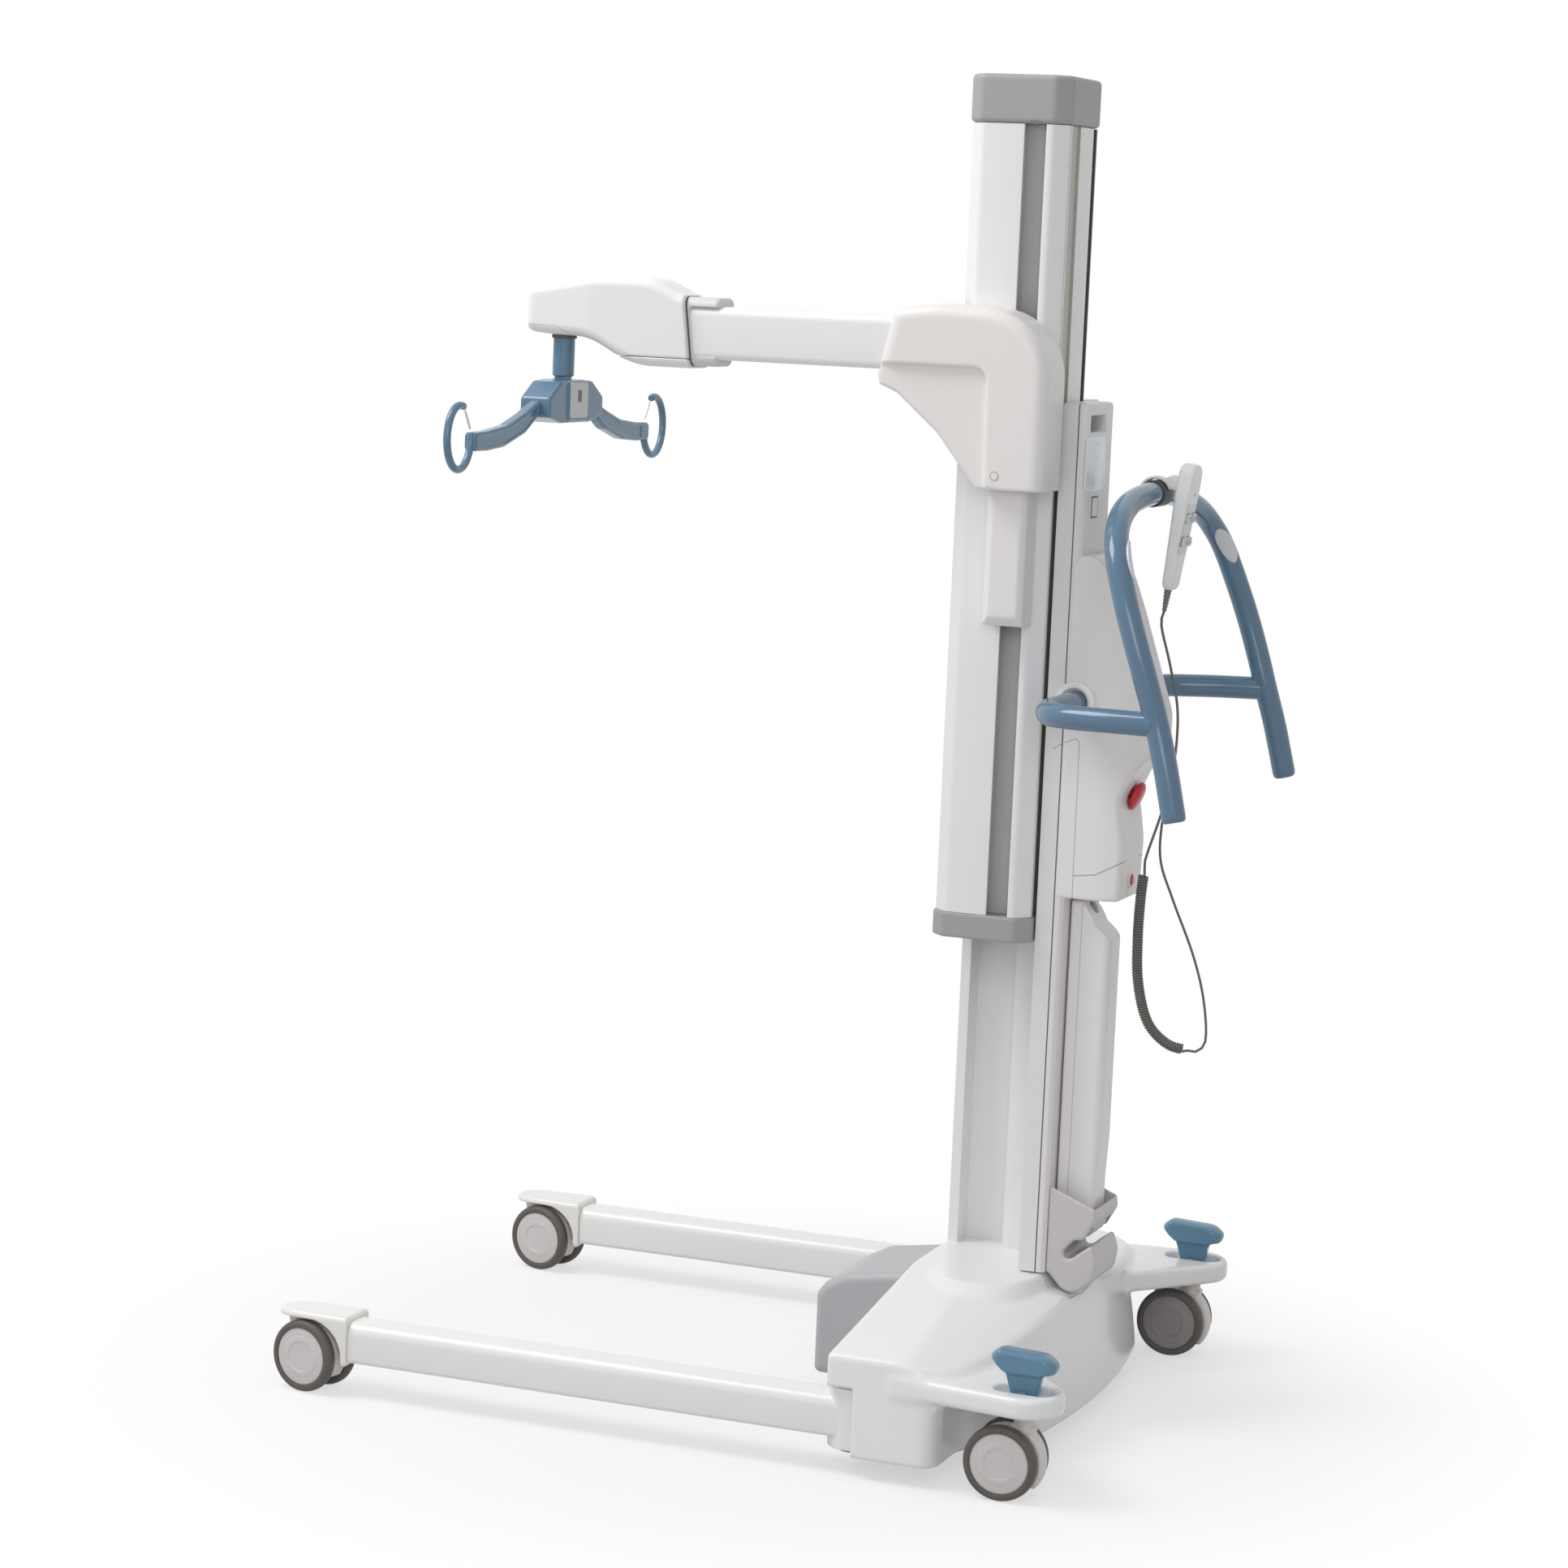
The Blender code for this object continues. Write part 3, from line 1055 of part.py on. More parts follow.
def make_rear_cover():
    """Moulded bulge behind the column that houses the control unit."""
    front = COLUMN_REAR + GAP
    view = [(front, SHELL_BOTTOM), (front, SHELL_TOP), (0.412, 1.178, 0.03), (0.448, 1.110, 0.10),
            (0.498, 0.985, 0.05), (0.497, 0.940, 0.02),
            (0.470, 0.905, 0.02), (0.453, 0.870, 0.03), (0.463, 0.810, 0.10), (0.460, SHELL_BOTTOM, 0.004)]
    half = COLUMN_HALF - 0.0005
    cover = prism("rear_cover", "yz", rounded(view, steps=4), -half, half)
    cover = baked(soften(cover, 0.003, segments=1, angle=60))
    for name, side in SIDES:
        taper = [Vector((side * x, y)) for x, y in ((0.0650, 0.432), (0.0400, 0.500), (0.0400, 0.520),
                                                    (0.0700, 0.520), (0.0700, 0.432))]
        cut(cover, prism("cover_taper_" + name, "xy", taper, SHELL_BOTTOM - 0.02, SHELL_TOP + 0.02))
        x = side * COLUMN_HALF
        cut(cover, rod("boss_room_" + name, (x - side * 0.004, HANDLE_Y, HANDLE_Z),
                       (x + side * 0.01, HANDLE_Y, HANDLE_Z), BOSS_RADIUS + 0.0008, steps=20))
    join(cover, rod("stop_bezel", STOP_SEAT - STOP_AXIS * 0.008, STOP_SEAT + STOP_AXIS * 0.0105, 0.0125,
                    steps=16))
    cut(cover, rod("stop_room", STOP_SEAT - STOP_AXIS * 0.010, STOP_SEAT + STOP_AXIS * 0.03, 0.0068 + GAP,
                   steps=16))
    cut(cover, rod("head_room", STOP_SEAT + STOP_AXIS * 0.0107, STOP_SEAT + STOP_AXIS * 0.03, 0.0215,
                   steps=16))
    cut(cover, rod("gland_room", GLAND - GLAND_AXIS * 0.008, GLAND + GLAND_AXIS * 0.02, 0.005 + GAP,
                   steps=16))
    cut(cover, rod("release_room", (0, RELEASE_Y - 0.006, RELEASE_Z), (0, RELEASE_Y + 0.02, RELEASE_Z),
                   0.008 + GAP, steps=16))
    link(baked(cover), WARM_WHITE)


STOP_AXIS = Vector((0.0, 0.93, -0.37)).normalized()
STOP_SEAT = Vector((0.0, 0.4485, 0.878))
GLAND_AXIS = Vector((0.0, 0.79, -0.61)).normalized()
GLAND = Vector((-0.012, 0.483, 0.921))
RELEASE_Y = 0.4615
RELEASE_Z = 0.757


def make_controls():
    """Emergency stop, lowering release and the cord gland on the rear cover."""
    seat, axis = STOP_SEAT, STOP_AXIS
    knob = turned("stop_button", [(0.0, 0.023), (0.010, 0.0225), (0.0175, 0.0195), (0.0190, 0.0165),
                                  (0.0180, 0.0140),
                                  (0.0068, 0.0140), (0.0068, -0.004), (0.0, -0.004)], turned_along(axis,
                                          seat), 16)
    link(hinge_at(knob, seat), RED)
    release = rod("lowering_release", (0, RELEASE_Y - 0.0035, RELEASE_Z),
                  (0, RELEASE_Y + 0.003, RELEASE_Z), 0.008 - 0.0002, steps=16)
    link(hinge_at(release, (0, RELEASE_Y, RELEASE_Z)), RED)
    gland = rod("cord_gland", GLAND - GLAND_AXIS * 0.007, GLAND + GLAND_AXIS * 0.008, 0.005,
                end_radius=0.0032, steps=16)
    link(gland, CORD_GREY)


def handle_path():
    """Centre line of the arch, from the foot of the +X side over the top."""
    half = [(0.286, 0.596, 0.880), (0.282, 0.579, 0.950), (0.278, 0.5645, 1.000), (0.279, 0.549, 1.050),
            (0.279, 0.532, 1.100), (0.273, 0.514, 1.150),
            (0.258, 0.496, 1.200), (0.231, 0.483, 1.233), (0.190, 0.474, 1.256), (0.125, 0.467,
                    1.273), (0.060, 0.466, 1.281), (0.0, 0.466, 1.283)]
    return half + [(-x, y, z) for x, y, z in reversed(half[:-1])]


def stay_path(side):
    """Centre line of a stay, straight out of its boss and round to the upright."""
    half = [(COLUMN_HALF + GAP, HANDLE_Y, HANDLE_Z), (0.100, HANDLE_Y, HANDLE_Z),
            (0.150, HANDLE_Y, HANDLE_Z), (0.185, 0.389, HANDLE_Z), (0.220, 0.401, HANDLE_Z),
            (0.246, 0.426, 1.000), (0.260, 0.460, 1.001), (0.270, 0.500, 1.002), (0.2785, 0.562, 1.003)]
    return [(side * x, y, z) for x, y, z in half]


def make_handle():
    arch_points = even_path(handle_path(), 0.040)
    arch = tube("handle_arch", arch_points, HANDLE_RADIUS, resolution=3)
    link(arch, BLUE)
    sheath = tube("handle_sheath", arch_points, HANDLE_RADIUS + GAP, resolution=3)
    as_cutter(sheath)
    for name, side in SIDES:
        route = [Vector(stay_path(side)[0])] + even_path(stay_path(side)[1:], 0.034)
        stay = tube("handle_stay_" + name, route, HANDLE_RADIUS, resolution=3)
        cope = stay.modifiers.new("cope", 'BOOLEAN')
        cope.operation = 'DIFFERENCE'
        cope.solver = 'EXACT'
        cope.object = sheath
        link(baked(stay), BLUE)
        boss = turned("handle_boss_" + name, [(HANDLE_RADIUS + GAP, 0.0), (BOSS_RADIUS, 0.0),
                                              (BOSS_RADIUS, BOSS_HEIGHT - 0.002), (BOSS_RADIUS - 0.002,
                BOSS_HEIGHT),
                                              (HANDLE_RADIUS + GAP, BOSS_HEIGHT)],
                      turned_along((side, 0, 0), (side * (COLUMN_HALF + GAP), HANDLE_Y,
                                                  HANDLE_Z)), 18, closed=True)
        link(boss, LIGHT_GREY)
    ring = turned("handset_rest", [(HANDLE_RADIUS + 0.0008, -0.022), (HANDLE_RADIUS + 0.0022, -0.022),
                                   (HANDLE_RADIUS + 0.0022, 0.022),
                                     (HANDLE_RADIUS + 0.0008, 0.022)],
                  turned_along((1, 0, 0), (HANDSET_X, 0.466, 1.2829)), 20, closed=True)
    link(ring, DARK)


def make_battery():
    b_half = BATTERY_HALF
    view = [(BATTERY_FRONT, BATTERY_BOTTOM, 0.003), (BATTERY_REAR - 0.004, BATTERY_BOTTOM, 0.003),
            (BATTERY_REAR - 0.004, 0.34, 0.02), (BATTERY_REAR, 0.40, 0.05), (BATTERY_REAR, 0.676, 0.006),
            (0.424, 0.694, 0.006), (0.418, 0.706, 0.006), (0.404, BATTERY_TOP, 0.006), (BATTERY_FRONT,
                    BATTERY_TOP, 0.003)]
    battery = prism("battery", "yz", rounded(view, steps=3), -b_half, b_half)
    battery = baked(soften(battery, 0.006, segments=1, angle=60))
    latch_middle = Vector((0.0, 0.4125, 0.7155))
    out = Vector((0.0, 0.82, 0.57)).normalized()
    cut(battery, rod("latch_room", latch_middle - out * 0.012, latch_middle + out * 0.02, 0.0085 + GAP,
                     steps=20))
    foot = (0.0, BATTERY_REAR - 0.006, BATTERY_BOTTOM + 0.002)
    link(hinge_at(baked(battery), foot), WHITE)
    link(hinge_at(rod("battery_latch", latch_middle - out * (0.012 - GAP), latch_middle + out * 0.001,
                      0.0085 - 0.0002, steps=20), latch_middle), CAP_GREY)

    front = COLUMN_REAR + GAP
    view = [(front, 0.331), (0.427, 0.309, 0.004), (0.456, 0.323, 0.003), (0.453, 0.296, 0.01),
            (0.424, 0.258, 0.012), (0.411, 0.240, 0.008), (0.420, 0.228, 0.006),
            (0.446, 0.216, 0.008), (0.446, 0.203, 0.006), (0.421, 0.1915, 0.008), (0.413, 0.1935,
                    0.006), (front + 0.010, 0.2135, 0.002), (front, 0.2135)]
    holder = prism("battery_holder", "yz", rounded(view, steps=3), -HOLDER_HALF, HOLDER_HALF)
    cut(holder, box("battery_room", (-b_half - 0.0008, BATTERY_FRONT - 0.0016, BATTERY_BOTTOM - GAP),
                    (b_half + 0.0008, BATTERY_REAR + 0.0045, 0.4)))
    link(baked(holder), LILAC)


def handset_matrix():
    lean = Matrix.Rotation(math.radians(-HANDSET_LEAN), 4, 'X')
    return Matrix.Translation((HANDSET_X, *HANDSET_MIDDLE)) @ lean


def make_handset():
    """Pendant with four keys; its hook hangs over the handle."""
    place = handset_matrix()
    half, thick, long = HANDSET_WIDTH / 2, HANDSET_THICK / 2, HANDSET_LENGTH / 2
    face = rounded([(-half + 0.004, -long, 0.012), (half - 0.004, -long, 0.012),
                    (half, long - 0.05, 0.03), (half - 0.003, long, 0.014), (-half + 0.003, long,
            0.014), (-half, long - 0.05, 0.03)], steps=2)
    body = prism("handset", "xz", face, -thick, thick)
    body = baked(soften(body, 0.005, segments=1, angle=60))
    body.data.transform(place)
    key_places = []
    for row in range(2):
        for column in range(2):
            key_places.append((-0.012 + 0.024 * column, 0.014 - 0.032 * row))
    for i, (x, z) in enumerate(key_places):
        pocket = box("key_room_%d" % i, (x - KEY_SIZE / 2 - GAP, thick - 0.005, z - KEY_SIZE / 2 - GAP),
                     (x + KEY_SIZE / 2 + GAP, thick + 0.01, z + KEY_SIZE / 2 + GAP))
        pocket.data.transform(place)
        cut(body, pocket)
    centre = Vector((0.466, 1.283))
    reach = HANDLE_RADIUS + 0.0022 + 0.0012
    hook_view = arc(centre, reach, 20, 185, 8) + arc(centre, reach + 0.006, 185, 62,
                                                     6) + [Vector((0.490, 1.309)), Vector((0.503, 1.300)),
            Vector((0.503, 1.288))]
    hook = prism("handset_hook_shape", "yz", hook_view, HANDSET_X - 0.017, HANDSET_X + 0.017)
    join(body, hook)
    nose_start = place @ Vector((0, 0, -long + 0.004))
    nose_end = place @ Vector((0, 0, -long - 0.030))
    join(body, rod("strain_relief", nose_start, nose_end, 0.0054, end_radius=0.0030, steps=16))
    lift = Vector(handset_lift_point())
    cut(body, rod("handle_room", (HANDSET_X - 0.1, centre.x, centre.y),
                  (HANDSET_X + 0.1, centre.x, centre.y), reach - 0.0001, steps=28))
    cut(body, box("lift_room", (HANDSET_X - 0.1, centre.x - reach + 0.0002, centre.y - 0.09),
                  (HANDSET_X + 0.1, centre.x + reach - 0.0002, centre.y)))
    link(hinge_at(baked(body), lift), WHITE)
    names = ("key_raise", "key_lower", "key_open", "key_close")
    for name, (x, z) in zip(names, key_places):
        key = box(name, (x - KEY_SIZE / 2, thick - 0.003, z - KEY_SIZE / 2),
                  (x + KEY_SIZE / 2, thick + KEY_PROUD, z + KEY_SIZE / 2))
        key.data.transform(place)
        link(hinge_at(key, place @ Vector((x, thick, z))), LIGHT_GREY)


def handset_lift_point():
    return (HANDSET_X, 0.466, 1.283)


def make_cord():
    """Handset lead: a thin run, the curly stretch and a thin run back up to the gland."""
    place = handset_matrix()
    long = HANDSET_LENGTH / 2
    down = (place.to_3x3() @ Vector((0, 0, -1))).normalized()
    start = place @ Vector((0, 0, -long - 0.030 - GAP))
    coil_top = Vector((0.012, 0.4830, 0.775))
    coil_line = [tuple(coil_top), (0.013, 0.4800, 0.735), (0.013, 0.4790, 0.680), (0.012, 0.4825, 0.620),
                 (0.010, 0.4980, 0.566), (0.006, 0.5260, 0.538), (0.002, 0.5560, 0.5310)]
    first = [tuple(start), tuple(start + down * 0.02), (-0.002, 0.5000, 1.050), (0.004, 0.5150, 0.990),
             (0.009, 0.5150, 0.920), (0.012, 0.5040, 0.860),
             (0.012, 0.4880, 0.805), (0.012, 0.4832, 0.7875), (0.012, 0.4830, 0.7758)]
    link(tube("cord_upper", even_path(first, 0.012), CORD_RADIUS, resolution=2), CORD_GREY)

    axis = even_path(coil_line, 0.002)
    lengths = [0.0]
    for a, b in zip(axis, axis[1:]):
        lengths.append(lengths[-1] + (b - a).length)
    total = lengths[-1]

    def along(distance):
        for i in range(len(axis) - 1):
            if lengths[i + 1] >= distance:
                t = (distance - lengths[i]) / (lengths[i + 1] - lengths[i])
                return axis[i].lerp(axis[i + 1], t), (axis[i + 1] - axis[i]).normalized()
        return axis[-1], (axis[-1] - axis[-2]).normalized()

    lead = 0.0085
    steps = CURL_COUNT * CURL_POINTS
    points = [along(0.0)[0], along(2 * CORD_RADIUS)[0]]
    for k in range(steps + 1):
        place_on, heading = along(lead + (total - 2 * lead) * k / steps)
        angle = 2 * math.pi * k / CURL_POINTS
        side = Vector((1, 0, 0))
        side = (side - heading * side.dot(heading)).normalized()
        other = heading.cross(side)
        points.append(place_on + (side * math.cos(angle) + other * math.sin(angle)) * CURL_RADIUS)
    points += [along(total - 2 * CORD_RADIUS)[0], along(total)[0]]
    nearest = 1.0
    for i in range(len(points)):
        for j in range(i + 5, min(len(points), i + 3 * CURL_POINTS)):
            nearest = min(nearest, (points[i] - points[j]).length)
    print("least gap of the curly cord to itself, mm:", round((nearest - 2 * CORD_RADIUS) * 1000, 2))
    link(tube("cord_coil", points, CORD_RADIUS, resolution=1), CORD_GREY)

    end, heading = along(total)
    out = GLAND + GLAND_AXIS * 0.0083
    last = [tuple(end + heading * 2 * GAP), tuple(end + heading * 0.008), (-0.008, 0.5760, 0.545),
            (-0.016, 0.5680, 0.600), (-0.018, 0.5490, 0.660), (-0.019, 0.5160, 0.733),
            (-0.019, 0.4960, 0.785), (-0.018, 0.4960, 0.840), (-0.015, 0.5050,
                    0.885), tuple(out + GLAND_AXIS * 0.010), tuple(out)]
    link(tube("cord_lower", even_path(last, 0.012), CORD_RADIUS, resolution=2), CORD_GREY)


make_base_cover()
make_base_frame()
make_legs()
for side_name, sign in SIDES:
    make_caster("front_caster_" + side_name, (sign * LEG_X, FRONT_STEM_Y), 2 * WHEEL_RADIUS + RUN_GAP,
                FRONT_CASTER_TURN)
    make_caster("rear_caster_" + side_name, (sign * REAR_STEM_X, REAR_STEM_Y), PLATE_BOTTOM, 0.0)
make_pedals()
make_leg_actuator()
make_fixed_mast()
make_moving_mast()
carriage_origin = make_carriage()
make_jib_head(carriage_origin)
make_spreader()
make_column()
make_rear_cover()
make_controls()
make_handle()
make_battery()
make_handset()
make_cord()

# Above, X = 0 is the middle plane of the base. The frame's origin is under the middle of the whole
# lift, so every piece moves back by half of what the spreader reaches past the base.
reach_past_base = BOOM_X + LOOP_X + LOOP_HALF_WIDTH + LOOP_WIRE - (REAR_STEM_X + ARM_END_RADIUS)
for piece in list(PARTS.objects) + list(CUTTERS.objects):
    piece.location.x -= reach_past_base / 2
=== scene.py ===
"""Looks of the patient floor lift: camera, studio, cord, coated metal, moulded plastic and rubber.

Metres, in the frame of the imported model: the legs point to -Y, the boom side is +X and the floor is
z = 0. Pieces are worked out with X = 0 in the base's middle plane and moved as they are made.
"""
import json
import math

import bmesh
import bpy
import numpy as np
from mathutils import Matrix, Vector


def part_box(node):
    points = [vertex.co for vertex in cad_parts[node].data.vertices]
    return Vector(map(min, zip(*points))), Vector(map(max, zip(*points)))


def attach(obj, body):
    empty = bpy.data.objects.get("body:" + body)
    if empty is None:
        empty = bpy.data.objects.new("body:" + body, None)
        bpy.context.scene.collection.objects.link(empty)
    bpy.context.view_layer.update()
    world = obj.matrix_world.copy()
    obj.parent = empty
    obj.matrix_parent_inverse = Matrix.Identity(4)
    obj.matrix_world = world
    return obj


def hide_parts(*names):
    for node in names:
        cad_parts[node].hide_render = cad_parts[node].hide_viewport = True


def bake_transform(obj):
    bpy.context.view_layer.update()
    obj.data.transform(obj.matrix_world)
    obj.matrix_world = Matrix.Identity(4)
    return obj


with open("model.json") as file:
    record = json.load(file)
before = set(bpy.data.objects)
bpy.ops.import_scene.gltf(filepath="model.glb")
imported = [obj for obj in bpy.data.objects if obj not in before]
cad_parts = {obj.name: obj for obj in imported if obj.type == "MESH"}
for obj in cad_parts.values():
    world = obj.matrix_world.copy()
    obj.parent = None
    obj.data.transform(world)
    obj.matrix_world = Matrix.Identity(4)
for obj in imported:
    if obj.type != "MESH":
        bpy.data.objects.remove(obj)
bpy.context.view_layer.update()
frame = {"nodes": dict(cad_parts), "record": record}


# Camera
# A long lens behind and above the boom side, turned a little clockwise, as the picture was
# taken. Its place and turn were worked out from the photograph.
base_middle = -0.02235
camera_place = (5.2971 + base_middle, 1.9683, 1.5818)
camera_azimuth = math.radians(110.852)
camera_elevation = math.radians(7.4167)
camera_roll = math.radians(2.4718)

lens = bpy.data.cameras.new("camera")
lens.lens = 93.6
lens.sensor_width = 36.0
lens.clip_end = 100.0
camera = bpy.data.objects.new("camera", lens)
backward = Vector((math.sin(camera_azimuth) * math.cos(camera_elevation),
                   -math.cos(camera_azimuth) * math.cos(camera_elevation),
                   math.sin(camera_elevation)))
level_right = (-backward).cross(Vector((0, 0, 1))).normalized()
level_up = level_right.cross(-backward)
right = level_right * math.cos(camera_roll) + level_up * math.sin(camera_roll)
up = level_up * math.cos(camera_roll) - level_right * math.sin(camera_roll)
camera.matrix_world = Matrix.Translation(camera_place) @ Matrix((right, up, backward)).transposed().to_4x4()
bpy.context.scene.collection.objects.link(camera)
bpy.context.scene.camera = camera
bpy.context.scene.view_settings.view_transform = 'Standard'


# Cord
# The handset's lead is one soft grey cable: a straight run from the strain relief, a tightly
# wound stretch that hangs in a hook shape, and a run back up to the gland below the rear cover.
# Its jacket is extruded rubber.
def tint(red, green, blue):
    """Linear colour from 0..255 screen values: each channel goes through the sRGB curve."""
    screen = np.array((red, green, blue)) / 255.0
    linear = np.where(screen <= 0.04045, screen / 12.92, ((screen + 0.055) / 1.055) ** 2.4)
    return (*linear.tolist(), 1.0)


class Wire:
    """An output socket on a board; + - * / on wires and numbers add Math nodes."""

    def __init__(self, board, socket):
        self.board = board
        self.socket = socket

    def maths(self, operation, first, second):
        return self.board.node("ShaderNodeMath", {"operation": operation}, {0: first, 1: second})

    def __add__(self, other):
        return self.maths("ADD", self, other)

    def __radd__(self, other):
        return self.maths("ADD", other, self)

    def __sub__(self, other):
        return self.maths("SUBTRACT", self, other)

    def __rsub__(self, other):
        return self.maths("SUBTRACT", other, self)

    def __mul__(self, other):
        return self.maths("MULTIPLY", self, other)

    def __rmul__(self, other):
        return self.maths("MULTIPLY", other, self)

    def __truediv__(self, other):
        return self.maths("DIVIDE", self, other)

    def __rtruediv__(self, other):
        return self.maths("DIVIDE", other, self)

    def __pow__(self, other):
        return self.maths("POWER", self, other)

    def __abs__(self):
        return self.maths("ABSOLUTE", self, 0.0)


class Board:
    """The node board of one material, with its Principled shader."""

    def __init__(self, name, **constants):
        self.material = bpy.data.materials.new(name)
        self.material.use_nodes = True
        self.tree = self.material.node_tree
        self.shader = self.tree.nodes["Principled BSDF"]
        for socket, value in constants.items():
            self.shader.inputs[socket.replace("_", " ")].default_value = value

    def node(self, kind, settings=None, sockets=None, out=0):
        """Adds a node: its settings first, then the values or wires of its sockets."""
        made = self.tree.nodes.new(kind)
        for key, value in (settings or {}).items():
            setattr(made, key, value)
        for key, value in (sockets or {}).items():
            self.plug(made.inputs[key], value)
        return Wire(self, made.outputs[out])

    def plug(self, socket, value):
        if isinstance(value, Wire):
            self.tree.links.new(value.socket, socket)
        else:
            socket.default_value = value

    def feed(self, name, value):
        self.plug(self.shader.inputs[name], value)

    def place(self):
        """Object coordinates with X from the base's middle plane."""
        return self.node("ShaderNodeVectorMath", {"operation": 'SUBTRACT'},
                         {0: self.node("ShaderNodeTexCoord", out="Object"), 1: (base_middle, 0, 0)})

    def spots(self):
        """The three coordinates as wires of their own."""
        split = self.tree.nodes.new("ShaderNodeSeparateXYZ")
        self.plug(split.inputs[0], self.place())
        return [Wire(self, split.outputs[k]) for k in range(3)]

    def noise(self, scale, detail=2.0, roughness=0.5, stretch=None):
        """Soft cloud noise between 0 and 1; scale is in clouds per metre, stretch per axis."""
        vector = self.place()
        if stretch:
            vector = self.node("ShaderNodeVectorMath", {"operation": 'MULTIPLY'}, {0: vector, 1: stretch})
        return self.node("ShaderNodeTexNoise", None,
                         {"Vector": vector, "Scale": scale, "Detail": detail, "Roughness": roughness},
                         out=0)

    def rise(self, value, low, high):
        """0 at low and 1 at high, smooth between; low may be above high."""
        return self.node("ShaderNodeMapRange", {"interpolation_type": 'SMOOTHSTEP'},
                         {"Value": value, "From Min": low, "From Max": high})

    def band(self, value, low, high, soft):
        """1 between low and high, fading to 0 over soft on both sides."""
        return self.rise(value, low - soft, low) * self.rise(value, high + soft, high)

    def least(self, first, second):
        return self.node("ShaderNodeMath", {"operation": 'MINIMUM'}, {0: first, 1: second})

    def most(self, first, second):
        return self.node("ShaderNodeMath", {"operation": 'MAXIMUM'}, {0: first, 1: second})

    def stroke(self, u, v, points):
        """Distance from (u, v) to a line through points, for a seam: the least distance to its
        straight stretches, each from the foot of the perpendicular held between its ends."""
        nearest = None
        for (a, b), (c, d) in zip(points, points[1:]):
            run, climb = c - a, d - b
            length = run * run + climb * climb
            share = (u - a) * (run / length) + (v - b) * (climb / length)
            along = self.node("ShaderNodeClamp", None, {0: share, 1: 0.0, 2: 1.0})
            off_u = (u - a) - along * run
            off_v = (v - b) - along * climb
            gap = (off_u * off_u + off_v * off_v) ** 0.5
            nearest = gap if nearest is None else self.least(nearest, gap)
        return nearest

    def blend(self, amount, first, second):
        """A colour between first and second."""
        return self.node("ShaderNodeMix", {"data_type": 'RGBA'}, {0: amount, 6: first, 7: second}, out=2)

    def bump(self, height, strength, distance):
        self.feed("Normal", self.node("ShaderNodeBump", None,
                                      {"Height": height, "Strength": strength, "Distance": distance}))


def rubbery(name, colour, roughness=0.62, grain=0.3):
    """Rubber: dull, with faint dusty patches."""
    board = Board(name, IOR=1.45)
    dust = board.noise(45.0, 4.0, 0.62)
    dark = tint(*(0.88 * c for c in colour))
    pale = tint(*(min(255, 1.1 * c + 4) for c in colour))
    board.feed("Base Color", board.blend(dust, dark, pale))
    board.feed("Roughness", dust * 0.16 + (roughness - 0.08))
    board.bump(board.noise(900.0, 2.0), grain, 0.00008)
    return board.material


def settle(name, mesh, material, body, nodes):
    """The mesh as an object in one material, with the CAD nodes that it stands for and its body."""
    mesh.materials.append(material)
    piece = bpy.data.objects.new(name, mesh)
    bpy.context.scene.collection.objects.link(piece)
    if nodes:
        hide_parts(*nodes)
    if body:
        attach(piece, body)
    return piece


def crisp(name, points, faces, material, body, nodes, sharp):
    """A piece from points and faces: X moves to the model's frame, doubles are merged, faces turn
    outward, and edges sharper than the angle stay crisp."""
    mesh = bpy.data.meshes.new(name)
    mesh.from_pydata((points + (base_middle, 0.0, 0.0)).tolist(), [], faces)
    work = bmesh.new()
    work.from_mesh(mesh)
    bmesh.ops.remove_doubles(work, verts=work.verts, dist=0.00001)
    bmesh.ops.recalc_face_normals(work, faces=work.faces)
    work.to_mesh(mesh)
    work.free()
    mesh.shade_smooth()
    mesh.set_sharp_from_angle(angle=math.radians(sharp))
    return settle(name, mesh, material, body, nodes)


def unit(rows):
    """Rows of length 1."""
    return rows / np.maximum(np.linalg.norm(rows, axis=-1, keepdims=True), 1e-12)


def measured(line):
    """Length along a line of points, at each point."""
    return np.concatenate(([0.0], np.cumsum(np.linalg.norm(np.diff(line, axis=0), axis=1))))


def read_at(wanted, length, line):
    """The line's places at the wanted lengths."""
    return np.stack([np.interp(wanted, length, line[:, k]) for k in range(3)], axis=-1)


def full_turn(count):
    """Angles of count even steps round a circle."""
    return 2 * math.pi * np.arange(count) / count


def tube_rings(line, radius, sides, reference):
    """Circles square to a line: one direction is the cross of the heading and a fixed reference,
    the other completes the frame. radius may be one number or one for each point."""
    heading = unit(np.gradient(line, axis=0))
    across = unit(np.cross(heading, np.array(reference, dtype=float)))
    other = np.cross(heading, across)
    turn = full_turn(sides)
    radius = np.broadcast_to(np.asarray(radius, dtype=float), (len(line),))[:, None, None]
    circle = across[:, None] * np.cos(turn)[None, :, None] + other[:, None] * np.sin(turn)[None, :, None]
    return line[:, None] + radius * circle


def smooth_path(points, step):
    """Catmull-Rom curve through chosen points, read about every step metres of its length."""
    route = np.array(points, dtype=float)
    route = np.vstack((2 * route[0] - route[1], route, 2 * route[-1] - route[-2]))
    spans = len(route) - 3
    along = np.linspace(0, spans, spans * 60 + 1)
    i = np.minimum(along.astype(int), spans - 1)
    t = (along - i)[:, None]
    a, b, c, d = route[i], route[i + 1], route[i + 2], route[i + 3]
    fine = 0.5 * (2 * b + (c - a) * t + (2 * a - 5 * b + 4 * c - d) * t ** 2
                  + (3 * b - a - 3 * c + d) * t ** 3)
    length = measured(fine)
    return read_at(np.linspace(0, length[-1], max(2, round(length[-1] / step)) + 1), length, fine)


